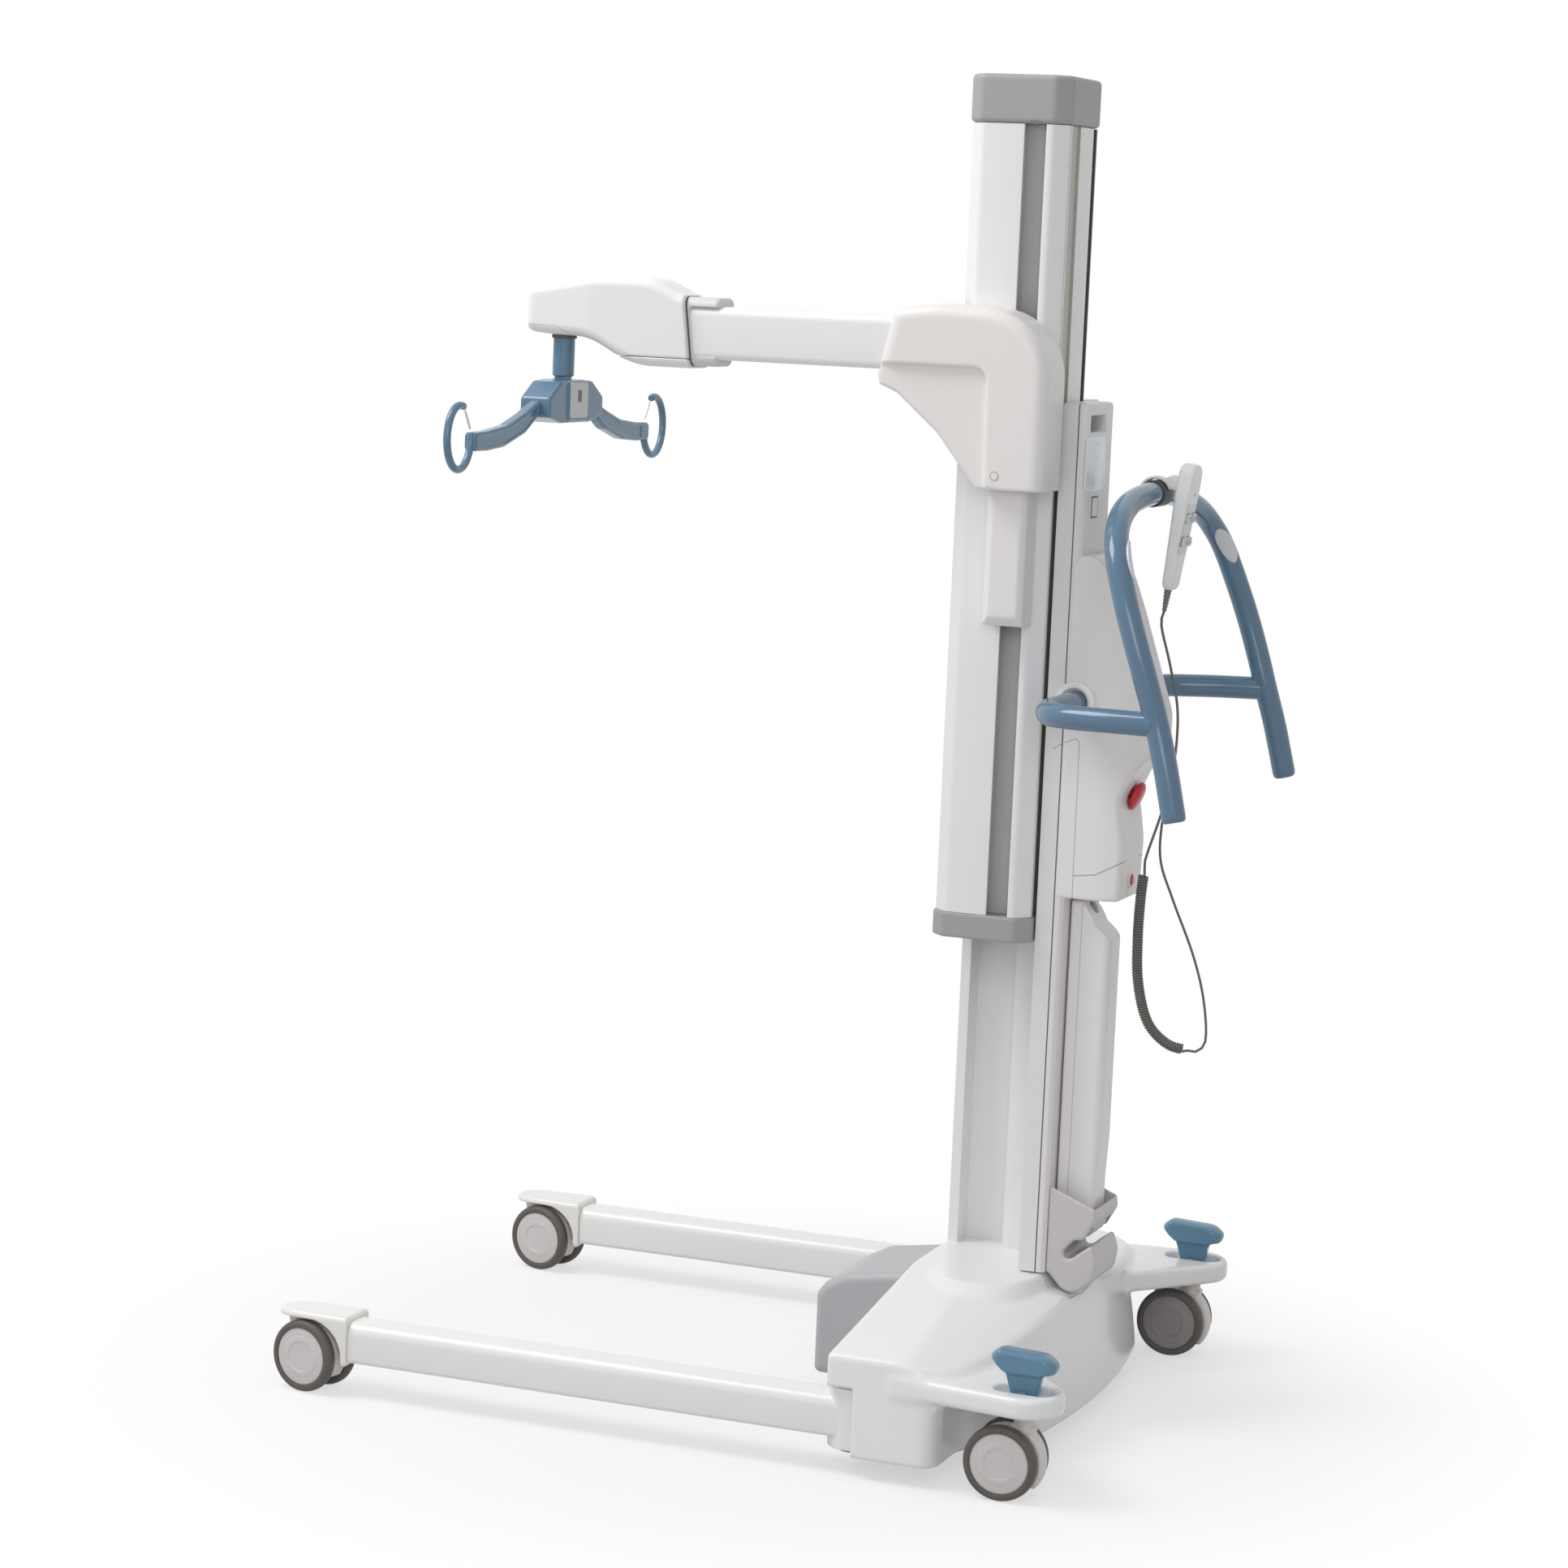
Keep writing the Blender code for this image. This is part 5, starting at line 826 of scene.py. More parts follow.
wheel_middle = (-wheel_trail, wheel_radius)
hood_plan = np.vstack((arc(wheel_middle, 0.0535, -38, 46, 16), [(0.0165, 0.097), (-0.0145, 0.0985)],
                       arc(wheel_middle, 0.0465, 84, 215, 22)))
casters = (("front", front_stem, 0.1015, 168.5), ("rear", rear_stem, 0.1193, 0.0))
for (end, place, seat, swivel), (side, flank) in [(row, column) for row in casters for column in sides]:
    name = "%s_caster_%s_" % (end, side)
    stem = (flank * place[0], place[1])
    c, s = math.cos(math.radians(swivel)), math.sin(math.radians(swivel))
    axle = (stem[0] + wheel_trail * s, stem[1] - wheel_trail * c, wheel_radius)

    def hood(x, y, z):
        """Hood outline between the wheels, with a collar round the stem, in the caster's own turn;
        the collar widens by 3.5 mm up to its seat."""
        across = (x - stem[0]) * c + (y - stem[1]) * s
        along = (y - stem[1]) * c - (x - stem[0]) * s
        cheek = thick(flat_field(hood_plan, along, z), across, -0.0125, 0.0125, 0.005)
        around = np.hypot(across, along)
        widening = 0.0035 * np.clip((z - 0.092) / (seat - 0.092), 0, 1)
        collar = thick(around - 0.0125 - widening, z, 0.088, seat - 0.0003, 0.001)
        pin = thick(around - 0.008, z, 0.09, seat + 0.006, 0.001)
        hole = np.hypot(along + wheel_trail, z - wheel_radius) - 0.0043
        return np.maximum(np.minimum(either(cheek, collar, 0.004), pin), -hole)

    moulding(name + "hood_shell", hood, (stem[0] - 0.083, stem[1] - 0.083, 0.003),
             (stem[0] + 0.083, stem[1] + 0.083, seat + 0.006), 0.0015, warm_white,
             "%s_hood_%s" % (end, side), name + "hood")
    body = "%s_wheels_%s" % (end, side)
    outward = [(c, s, 0.0), (-c, -s, 0.0)]
    rod = turned([(0.0, -0.015), (0.004, -0.015), (0.004, 0.015), (0.0, 0.015)], axle, outward[0], 24)
    # The far rear caster takes the caps with painted shade.
    cap_shade = cap_painted_shade if (end, side) == ("rear", "right") else cap_white
    tyres = [turned(tyre_profile, axle, out) for out in outward]
    caps = [turned(cap_profile, axle, out) for out in outward] + [rod]
    enter(name + "tyres", tyres, tyre_rubber, body, name + "wheels", ends="joined")
    enter(name + "caps", caps, cap_shade, body, name + "wheels", ends="open", sharp=25.0)


# Brake pedals
# Blue moulded pads, one over each rear caster; each stands on a narrow web that rocks on a pin in
# the arm's recess.
blue_plastic = moulded("blue_plastic", (97, 137, 163), 0.26, 0.2)
pad_view = fillet([(0.4235, 0.186, 0.006), (0.438, 0.197, 0.012), (0.5, 0.194, 0.03),
                   (0.516, 0.183, 0.007), (0.512, 0.172, 0.006), (0.496, 0.168, 0.012),
                   (0.488, 0.133, 0.004), (0.457, 0.133, 0.006), (0.446, 0.168, 0.014)])
pad_half = 0.018
pedal_pin_y, pedal_pin_z = 0.4725, 0.1395
pad_plan = rounded_box(-pad_half, 0.426, pad_half, 0.518, 0.014, 0.016)
for side, s in sides:
    x0 = s * pedal_x

    def pedal(x, y, z):
        """Pad from its side view and its round-cornered plan; below the pad only the narrow web."""
        view = flat_field(pad_view, y, z)
        pad = both(both(view, flat_field(pad_plan, x - x0, y), 0.006), 0.1675 - z, 0.004)
        web = thick(view, x - x0, -0.0085, 0.0085, 0.003)
        hole = np.hypot(y - pedal_pin_y, z - pedal_pin_z) - 0.0036
        return np.maximum(either(pad, web, 0.004), -hole)

    moulding("pedal_pad_" + side, pedal, (x0 - pad_half, 0.4235, 0.133), (x0 + pad_half, 0.516, 0.197),
             0.0014, blue_plastic, "pedal_" + side, "pedal_" + side)


# Actuator cover
# A grey moulded housing screwed to the front of the base, over the motor that splays the legs. It
# is hollow from the rear.
lilac = moulded("lilac_grey", (186, 184, 188), 0.45)
actuator_half, actuator_back = 0.1, 0.1997
actuator_view = fillet([(actuator_back, 0.036), (actuator_back, 0.196), (0.11, 0.182, 0.03),
                        (0.08, 0.166, 0.01), (0.068, 0.15, 0.01), (0.068, 0.036, 0.01)])


def actuator_field(x, y, z):
    """Side view drawn across, with soft edges; hollow from the rear."""
    body = thick(flat_field(actuator_view, y, z), x, -actuator_half, actuator_half, 0.012)
    room = overlap(abs(x) - 0.092, 0.076 - y, 0.04 - z, z - 0.146)
    return both(np.maximum(body, y - actuator_back), -room, 0.002)


moulding("actuator_housing", actuator_field, (-actuator_half, 0.068, 0.036),
         (actuator_half, actuator_back, 0.196), 0.0022, lilac, "base", "actuator_cover")


# Fixed mast
# An aluminium extrusion with a white coat, bolted to the frame's foot plate; the slide of the
# moving mast runs in its recess.
mast_white = coated("mast_white", (240, 240, 241), 0.36, 0.15)
fixed_face = -0.0556
fixed_outline = fillet([(-0.13, 0.206, 0.007), (fixed_face, 0.206, 0.001), (fixed_face, 0.22),
                        (fixed_face - 0.04, 0.22), (fixed_face - 0.04, 0.287), (fixed_face, 0.287),
                        (fixed_face, 0.3425, 0.001), (-0.13, 0.3425, 0.007)])
fixed_low, fixed_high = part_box("fixed_mast")
fixed_rings = drawn(fixed_outline, (fixed_low[2], fixed_high[2]), 2)
enter("fixed_mast_tube", fixed_rings, mast_white, "base", "fixed_mast")


# Moving mast
# The larger extrusion, that rises beside the fixed one. The carriage runs in the slot of its boom
# side; the grooves of its rear face take a grey and a dark strip; moulded grey caps close its ends.
slot_y, slot_mouth, slot_room, slot_depth = 0.299, 0.015, 0.023, 0.028
mast_left, mast_right, mast_front, mast_rear, mast_chamfer = -0.055, 0.085, 0.2045, 0.3425, 0.02
mast_outline = fillet([(mast_left, mast_front + 0.01, 0.003), (mast_left + 0.01, mast_front, 0.003),
                       (mast_right - mast_chamfer, mast_front, 0.012),
                       (mast_right, mast_front + mast_chamfer, 0.012),
                       (mast_right, slot_y - slot_mouth, 0.0012),
                       (mast_right - 0.004, slot_y - slot_mouth),
                       (mast_right - 0.004, slot_y - slot_room),
                       (mast_right - slot_depth, slot_y - slot_room, 0.002),
                       (mast_right - slot_depth, slot_y + slot_room, 0.002),
                       (mast_right - 0.004, slot_y + slot_room),
                       (mast_right - 0.004, slot_y + slot_mouth),
                       (mast_right, slot_y + slot_mouth, 0.0012),
                       (mast_right, mast_rear - mast_chamfer, 0.012),
                       (mast_right - mast_chamfer, mast_rear, 0.012), (0.064, mast_rear, 0.0004),
                       (0.064, mast_rear - 0.003), (0.021, mast_rear - 0.003), (0.021, mast_rear, 0.0004),
                       (-0.037, mast_rear, 0.0004), (-0.037, mast_rear - 0.006),
                       (-0.0525, mast_rear - 0.006), (-0.0525, mast_rear, 0.0004),
                       (mast_left, mast_rear, 0.001)], 5)


def mast_marks(board, shown):
    """Grey in the slot, partly the bare metal's colour and partly painted shade of the deep slot; a
    grey-green strip and a dark strip in the rear grooves.
    """
    x, y, z = board.spots()
    room_low, room_high = slot_y - slot_room - 0.0002, slot_y + slot_room + 0.0002
    # Painted shade: the slot's inside is greyed, the bare metal's colour darkened for the shade in the deep
    # slot.
    slot = board.band(y, room_low, room_high, 0.0002) * board.band(x, 0.05, 0.0836, 0.0002)
    shown = board.blend(slot, shown, tint(196, 194, 192))
    strip = board.band(x, 0.0208, 0.0642, 0.0001) * board.band(y, 0.338, mast_rear - 0.0004, 0.0002)
    shown = board.blend(strip, shown, tint(176, 177, 168))
    dark = board.band(x, -0.0527, -0.0368, 0.0001) * board.band(y, 0.334, mast_rear - 0.0004, 0.0002)
    return board.blend(dark, shown, tint(92, 94, 98))


mast_rings = drawn(mast_outline, (0.702, 1.765), 2)
enter("moving_mast_tube", mast_rings,
      coated("moving_mast_white", (240, 240, 241), 0.34, 0.15, finish=mast_marks), "mast", "moving_mast",
      sharp=24.0)
cap_grey = moulded("cap_grey", (166, 165, 168), 0.48)
lip = 0.0025
top_low, top_high, bottom_low, bottom_high = 1.7653, 1.83, 0.667, 0.7017
cap_outline = fillet([(mast_left, mast_front - lip + 0.01, 0.003),
                      (mast_left + 0.01, mast_front - lip, 0.003),
                      (mast_right + lip - mast_chamfer, mast_front - lip, 0.012),
                      (mast_right + lip, mast_front - lip + mast_chamfer, 0.012),
                      (mast_right + lip, mast_rear + lip - mast_chamfer, 0.012),
                      (mast_right + lip - mast_chamfer, mast_rear + lip, 0.012),
                      (mast_left, mast_rear + lip, 0.001)])


def top_cap(x, y, z):
    """The cap's plan between two heights, with a round bite over the slot."""
    cap = thick(flat_field(cap_outline, x, y), z, top_low, top_high, 0.007)
    bite = np.maximum(np.hypot(y - slot_y, z - 1.754) - slot_mouth, 0.081 - x)
    return both(cap, -bite, 0.001)


moulding("mast_top_cap_shell", top_cap, (mast_left, 0.202, top_low), (0.0875, 0.345, top_high), 0.0022,
         cap_grey, "mast", "mast_top_cap")
moulding("mast_bottom_cap_shell",
         lambda x, y, z: thick(flat_field(cap_outline, x, y), z, bottom_low, bottom_high, 0.0035),
         (mast_left, 0.202, bottom_low), (0.0875, 0.345, bottom_high), 0.0022, cap_grey,
         "mast", "mast_bottom_cap")


# Carriage
# The elbow that carries the boom: an L-shaped moulded cover with a sunk web, a box below it, both
# clipped over the slide's bracket.
arm_white = moulded("arm_white", (236, 233, 231), 0.36, 0.15)
elbow_left, elbow_right, elbow_low, web_depth = 0.0856, 0.17, 1.283, 0.0098
plug_y, plug_z = 0.2931, 1.3014
elbow_view = fillet([(0.1185, 1.428, 0.006), (0.139, 1.517, 0.016), (0.2, 1.5245, 0.1),
                     (0.358, 1.518, 0.092), (0.358, 1.24), (0.262, 1.283, 0.004), (0.205, 1.354, 0.08),
                     (0.146, 1.404, 0.02), (0.121, 1.414, 0.004)], 10)
web_view = fillet([(0.1, 1.4425), (0.274, 1.4425, 0.018), (0.279, 1.27), (0.1, 1.27)], 12)


def elbow_field(x, y, z):
    """Side view drawn across with a wide round on the outer edges; the web is sunk 10 mm with a
    fillet at its foot."""
    view = flat_field(elbow_view, y, z)
    body = both(both(both(view, x - elbow_right, 0.018), elbow_left - x, 0.002), elbow_low - z, 0.003)
    web = both(flat_field(web_view, y, z), elbow_right - web_depth - x, 0.006)
    return both(body, -web, 0.0035)


moulding("elbow_shell", elbow_field, (elbow_left, 0.1185, elbow_low), (elbow_right, 0.358, 1.526), 0.0026,
         arm_white, "carriage", "elbow_cover")
box_plan = fillet([(elbow_left, 0.27), (0.122, 0.27, 0.003), (0.135, 0.281, 0.003), (0.135, 0.321, 0.005),
                   (0.129, 0.328, 0.005), (elbow_left, 0.328)])
box_low, box_high = 1.1, 1.2827


def box_field(x, y, z):
    """Plan between two heights, with the lower outer edge cut off at a slant."""
    body = thick(flat_field(box_plan, x, y), z, box_low, box_high, 0.002)
    return both(body, (x - 0.123 + box_low - z) / math.sqrt(2), 0.002)


moulding("carriage_box_shell", box_field, (elbow_left, 0.27, box_low), (0.135, 0.328, box_high), 0.0018,
         arm_white, "carriage", "carriage_box")
button_rings = turned([(0.0, 0.0006), (0.0046, 0.0006), (0.0052, 0.0002), (0.0055, -0.0006),
                       (0.0059, -0.0006), (0.0059, 0.0004), (0.0066, 0.0004), (0.0068, -0.002),
                       (0.0, -0.002)], (elbow_right, plug_y, plug_z), (1, 0, 0), 40)


def plug_gap_shade(board, shown):
    """A dark ring of painted shade over the gap between the plug and its rim."""
    x, y, z = board.spots()
    radius = ((y - plug_y) * (y - plug_y) + (z - plug_z) * (z - plug_z)) ** 0.5
    # Painted shade in the gap round the plug.
    return board.blend(board.band(radius, 0.005, 0.0061, 0.0002), shown, tint(138, 132, 128))


enter("elbow_screw_cap", button_rings, moulded("plug_white", (236, 233, 231), 0.36, 0.15, finish=plug_gap_shade),
      "carriage", ends="open")
moulding("slide_pad", lambda x, y, z: both(both(abs(x - 0.0805) - 0.0075, abs(y - 0.2055) - 0.005, 0.001),
                                           abs(z - 1.5165) - 0.0045, 0.001),
         (0.073, 0.2005, 1.512), (0.088, 0.2105, 1.521), 0.0009, black_slide, "carriage")


# Boom
# A rounded aluminium tube, coated white, held in the elbow; a pale grey sleeve closes the gap where
# it enters the jib head.
boom_outline = rounded_box(0.1, 1.434, 0.16, 1.506, 0.01, 0.014, 8)
boom_rings = drawn(boom_outline, (-0.249, 0.194), 1)
enter("boom_skin", boom_rings, coated("boom_white", (240, 239, 239), 0.34, 0.12), "carriage", "boom_tube")
sleeve_view = rounded_box(0.0992, 1.4245, 0.1608, 1.5175, 0.012, 0.014)
edge_grey = moulded("edge_grey", (214, 212, 212), 0.45)


def head_back(y, z):
    """Signed distance behind the jib head's slanted rear edge."""
    return (y + 0.162) * 0.992 - (1.517 - z) * 0.124


def sleeve_field(x, y, z):
    """The sleeve's section behind the slanted edge; a window in each side leaves only the lips above
    and below at the full length."""
    body = both(flat_field(sleeve_view, x, z), y + 0.112, 0.006)
    window = both(abs(z - 1.471) - 0.033, 0.006 - head_back(y, z), 0.004)
    return both(both(body, -window, 0.001), 0.0016 - head_back(y, z), 0.001)


moulding("boom_sleeve_shell", sleeve_field, (0.0992, -0.162, 1.4245), (0.1608, -0.112, 1.5175), 0.0017,
         edge_grey, "carriage", "boom_sleeve")
# A dark colour for painted shade in gaps: a thin band stands for it where the sleeve enters the jib head.
painted_gap_shade = moulded("painted_gap_shade", (92, 84, 78), 0.6)
moulding("head_gap_shade", lambda x, y, z: both(flat_field(sleeve_view, x, z) - 0.0006,
                                               abs(head_back(y, z) - 0.0006) - 0.0012, 0.0004),
         (0.0985, -0.164, 1.4238), (0.1615, -0.148, 1.5182), 0.0012, painted_gap_shade, "carriage")


# Jib head
# Two gloss white shells screwed together round the boom's end; their joint is a line along both
# sides, and the upper shell holds the hanger's bearing.
head_view = fillet([(-0.404, 1.461, 0.008), (-0.404, 1.521, 0.013), (-0.293, 1.541, 0.1),
                    (-0.21, 1.541, 0.08), (-0.166, 1.5195, 0.05), (-0.14, 1.517), (-0.14, 1.421),
                    (-0.236, 1.421, 0.12), (-0.303, 1.4565, 0.09), (-0.36, 1.4575, 0.02)], 14)
head_plan = fillet([(0.09, -0.13), (0.17, -0.13), (0.17, -0.3, 0.08), (0.16, -0.404, 0.022),
                    (0.1, -0.404, 0.022), (0.09, -0.3, 0.08)], 10)


def head_field(x, y, z):
    """Side view and plan overlapped with round edges, ended by the slanted rear edge."""
    body = both(flat_field(head_view, y, z), flat_field(head_plan, x, y), 0.014)
    return both(body, head_back(y, z), 0.0015)


def head_marks(board, shown):
    """The joint of the bearing's housing under the tip."""
    x, y, z = board.spots()
    line = board.stroke(y, z, [(-0.41, 1.4705), (-0.35, 1.469), (-0.33, 1.46), (-0.318, 1.452)])
    return board.blend(board.rise(line, 0.0009, 0.0003) * 0.4, shown, tint(150, 148, 148))


head_white = moulded("head_white", (240, 238, 238), 0.34, 0.12, finish=head_marks)
moulding("jib_head_upper", lambda x, y, z: both(head_field(x, y, z), 1.4341 - z, 0.001),
         (0.09, -0.404, 1.434), (0.17, -0.15, 1.541), 0.0022, head_white, "carriage", "jib_head")
moulding("jib_head_under", lambda x, y, z: both(head_field(x, y, z), z - 1.4332, 0.001),
         (0.09, -0.404, 1.421), (0.17, -0.15, 1.434), 0.0016, arm_white, "carriage", "jib_head_lower")


# Spreader bar
# Cast aluminium with a grey-blue powder coat: a hanger post that swivels in the jib head, a middle
# block that tilts on it, and two arms that end in wire sling loops closed by sprung gates.
blue_coat = coated("blue_coat", (92, 125, 150), 0.18, 0.2)
boom_x, hanger_y = 0.13, -0.352
post_rings = turned([(0.0, 1.4), (0.013, 1.4), (0.015, 1.4012), (0.015, 1.4545),
                     (0.0075, 1.4545), (0.0075, 1.494), (0.0, 1.494)], (boom_x, hanger_y, 0.0),
                    (0, 0, 1), 48)
enter("hanger_post_skin", post_rings, blue_coat, "hanger", "hanger_post", ends="open")
tongue_half = 0.012
tongue_view = rounded_box(-tongue_half, 1.36, tongue_half, 1.404, 0.0115, 0.0)
tongue_low, tongue_high = hanger_y - 0.008, hanger_y + 0.008
moulding("hanger_tongue",
         lambda x, y, z: thick(flat_field(tongue_view, x - boom_x, z), y, tongue_low, tongue_high, 0.001),
         (boom_x - tongue_half, tongue_low, 1.36), (boom_x + tongue_half, tongue_high, 1.404), 0.0016,
         blue_coat, "hanger", "hanger_post")
# A dark ring of painted shade in the gap where the hanger post enters the jib head.
hanger_shade_rings = turned([(0.0152, 1.452), (0.0168, 1.4524), (0.0172, 1.4532), (0.0172, 1.4572),
                       (0.0152, 1.4572)], (boom_x, hanger_y, 0.0), (0, 0, 1), 48)
enter("hanger_gap_shade", hanger_shade_rings, painted_gap_shade, "carriage", ends="joined")

block_view = fillet([(-0.09, 1.346, 0.005), (-0.045, 1.337, 0.02), (0.045, 1.337, 0.02),
                     (0.09, 1.346, 0.005), (0.09, 1.372, 0.008), (0.052, 1.394, 0.014),
                     (0.022, 1.396, 0.005), (-0.022, 1.396, 0.005), (-0.052, 1.394, 0.014),
                     (-0.09, 1.372, 0.008)], 8)


def block_field(x, y, z):
    """Front view drawn through, with the slot for the hanger's tongue and, on each side of the
    middle, a shallow step down to the arms."""
    across, along = y - hanger_y, x - boom_x
    body = thick(flat_field(block_view, along, z), across, -0.025, 0.025, 0.007)
    waist = both(0.0315 - abs(along), 0.0225 - abs(across), 0.002)
    body = both(body, -waist, 0.0015)
    slot = overlap(abs(along) - 0.0195, abs(across) - 0.009, 1.348 - z)
    return both(body, -slot, 0.0012)


moulding("spreader_block_shell", block_field, (boom_x - 0.09, hanger_y - 0.025, 1.337),
         (boom_x + 0.09, hanger_y + 0.025, 1.396), 0.0016, blue_coat, "spreader", "spreader_block")


def clip_marks(board, shown):
    """A dark oblong in the plate's middle."""
    x, y, z = board.spots()
    slot = board.band(x, boom_x - 0.006, boom_x + 0.006, 0.0003) * board.band(z, 1.366, 1.382, 0.0003)
    return board.blend(slot, shown, tint(84, 86, 88))


clip_half, pin_z = 0.029, 1.372
clip_view = rounded_box(-clip_half, 1.344, clip_half, 1.3925, 0.005, 0.005)


def clip_field(x, y, z):
    """The two clip plates and the pin between them."""
    across, along = y - hanger_y, x - boom_x
    plates = thick(flat_field(clip_view, along, z), abs(across), 0.0238, 0.0265, 0.0008)
    pin = np.maximum(np.hypot(along, z - pin_z) - 0.004, abs(across) - 0.0245)
    return np.minimum(plates, pin)


moulding("spreader_clip_plates", clip_field, (boom_x - clip_half, hanger_y - 0.0265, 1.344),
         (boom_x + clip_half, hanger_y + 0.0265, 1.3925), 0.0011,
         moulded("clip_grey", (204, 205, 206), 0.42, finish=clip_marks), "spreader", "spreader_pin")
arm_root, arm_tip, arm_deep = 0.0705, 0.292, 0.009
arm_view = fillet([(arm_root, 1.348), (0.09, 1.348), (0.135, 1.3245, 0.03), (0.2, 1.308, 0.06),
                   (0.25, 1.3045, 0.05), (arm_tip, 1.305, 0.006), (arm_tip, 1.33, 0.006),
                   (0.25, 1.331, 0.05), (0.19, 1.337, 0.06), (0.135, 1.352, 0.03),
                   (0.09, 1.368), (arm_root, 1.368)], 8)
gate_steel = plated("gate_steel", (206, 206, 208), 0.25)
wire_radius = 0.0052
loop_x, loop_z, loop_half_x, loop_half_z = 0.325, 1.324, 0.036, 0.042
loop_start, loop_swing, loop_points = 172, 298, 61
for side, s in sides:

    def arm_field(x, y, z):
        """The arm's view drawn through 18 mm with soft edges and a sunk panel on both faces."""
        view = flat_field(arm_view, s * (x - boom_x), z)
        across = abs(y - hanger_y)
        panel = both(np.maximum(view + 0.0055, abs(s * (x - boom_x) - 0.18) - 0.082),
                     0.0075 - across, 0.0008)
        return both(both(view, across - arm_deep, 0.0045), -panel, 0.0008)

    low_x, high_x = sorted((boom_x + s * arm_root, boom_x + s * arm_tip))
    moulding("spreader_arm_shell_" + side, arm_field, (low_x, hanger_y - arm_deep, 1.3045),
             (high_x, hanger_y + arm_deep, 1.368), 0.0014, blue_coat, "spreader", "spreader_arm_" + side)
    swing = np.radians(loop_start + loop_swing * np.linspace(0, 1, loop_points))
    loop = np.column_stack((boom_x + s * (loop_x + loop_half_x * np.cos(swing)),
                            np.full(loop_points, hanger_y), loop_z + loop_half_z * np.sin(swing)))
    wire = np.full(loop_points, wire_radius)
    wire[[0, -1]] = 0.004
    loop_rings = tube_rings(loop, wire, 20, (0, 1, 0))
    enter("sling_loop_" + side, loop_rings, blue_coat, "spreader", "spreader_arm_" + side)
    heel, toe = loop[0], loop[-1]
    along = unit(toe - heel)
    gate = np.linspace(heel + along * wire_radius, toe - along * 0.0055, 8)
    gate_rings = tube_rings(gate, (0.001, *6 * (0.0016,), 0.0012), 12, (0, 1, 0))
    enter("gate_wire_" + side, gate_rings, gate_steel, "gate_" + side, "gate_" + side)


# Control column
# A narrow moulded column in two halves behind the masts, fixed to them by two brackets. On its
# rear face are a display window, a pale panel with two soft keys and a generic square sign.
column_half, column_rear, joint, groove = 0.06, 0.385, 0.3715, 0.0015


def column_outline(front):
    """Plan of the column with chamfered rear corners and the parting groove on both sides."""
    side = [(column_half, front), (column_half, joint), (column_half - groove, joint),
            (column_half - groove, joint + groove), (column_half, joint + groove),
            (column_half, column_rear - 0.005, 0.003), (column_half - 0.005, column_rear, 0.003)]
    return fillet(side + [(-row[0], *row[1:]) for row in reversed(side)], 4)


def column_marks(board, shown):
    """The dark parting groove, and a short slanting seam, darkened by the painted shadow of its small
    ledge, that the rear cover's seam goes on from.
    """
    x, y, z = board.spots()
    aside = abs(x)
    parting = board.band(y, joint - 0.0001, joint + groove + 0.0001, 0.0002)
    shown = board.blend(parting * board.rise(aside, 0.055, 0.057) * 0.8, shown, tint(96, 96, 98))
    # Painted shadow: the short slanting line is a seam with the shadow under its small ledge painted on.
    ledge_shadow = board.stroke(y, z, [(0.36, 0.934), (0.3725, 0.942)])
    return board.blend(board.rise(ledge_shadow, 0.0012, 0.0004) * board.rise(aside, 0.0585, 0.0595) * 0.55,
                       shown, tint(120, 119, 120))


low_part, high_part = column_outline(0.348), column_outline(0.3495)
plan_middle = (0.0, 0.367)
edge_scale, top_scale = (0.985, 0.95), (0.93, 0.8)
edge_part, top_part = ((high_part - plan_middle) * k + plan_middle for k in (edge_scale, top_scale))
column_rings = drawn(np.stack((low_part, low_part, high_part, high_part, edge_part, top_part)),
                     (0.2113, 1.303, 1.3035, 1.395, 1.3982, 1.4), 2)
bracket = [(-0.125, 0.3428), (-0.061, 0.3428), (-0.061, 0.349), (-0.058, 0.349), (-0.058, 0.366),
           (-0.064, 0.366), (-0.064, 0.3468), (-0.125, 0.3468)]
brackets = [drawn(bracket, (low, low + 0.08), 2) for low in (0.5, 1.22)]
enter("control_column_shell", [column_rings, *brackets],
      moulded("column_skin", (233, 230, 229), 0.38, 0.2, finish=column_marks), "base", "control_column")


def plate(name, middle_x, middle_z, half_x, half_z, corner, seat, proud, material):
    """A thin rounded plate on the column's rear face."""
    outline = rounded_box(middle_x - half_x, middle_z - half_z, middle_x + half_x,
                          middle_z + half_z, corner, corner, 8)
    middle, half = (middle_x, middle_z), np.array((half_x, half_z))
    inner = (outline - middle) * (1 - 0.0004 / half) + middle
    rings = drawn(np.stack((outline, outline, inner)),
                  (seat - 0.001, seat + proud - 0.0003, seat + proud), 1)
    enter(name, rings, material, "base")


display_glass = Board("display_glass", IOR=1.5)
fog = display_glass.noise(60.0, 2.0)
display_glass.feed("Base Color", display_glass.blend(fog, tint(66, 72, 76), tint(84, 90, 94)))
display_glass.feed("Roughness", fog * 0.06 + 0.1)


def panel_marks(board, shown):
    """Two round soft keys as faint grey rings on the panel."""
    x, y, z = board.spots()
    for height in (1.336, 1.302):
        gap = abs(board.stroke(x, z, [(0.0165, height), (0.01651, height)]) - 0.0105)
        shown = board.blend(board.rise(gap, 0.0009, 0.0004) * 0.55, shown, tint(150, 158, 166))
    return shown


def square_marks(board, shown):
    """A white square with a dark frame."""
    x, y, z = board.spots()
    edge = board.most(abs(x - 0.0105), abs(z - 1.26))
    return board.blend(board.rise(edge, 0.0125, 0.012), tint(70, 70, 72), shown)


plate("display_window", 0.012, 1.3725, 0.034, 0.0115, 0.003, column_rear, 0.0006, display_glass.material)
plate("key_panel", 0.0165, 1.318, 0.0435, 0.036, 0.008, column_rear, 0.0008,
      moulded("panel_white", (238, 243, 247), 0.25, 0.05, finish=panel_marks))
plate("square_sign", 0.0105, 1.26, 0.015, 0.015, 0.002, column_rear, 0.0004,
      moulded("sign_white", (236, 236, 236), 0.4, 0.05, finish=square_marks))


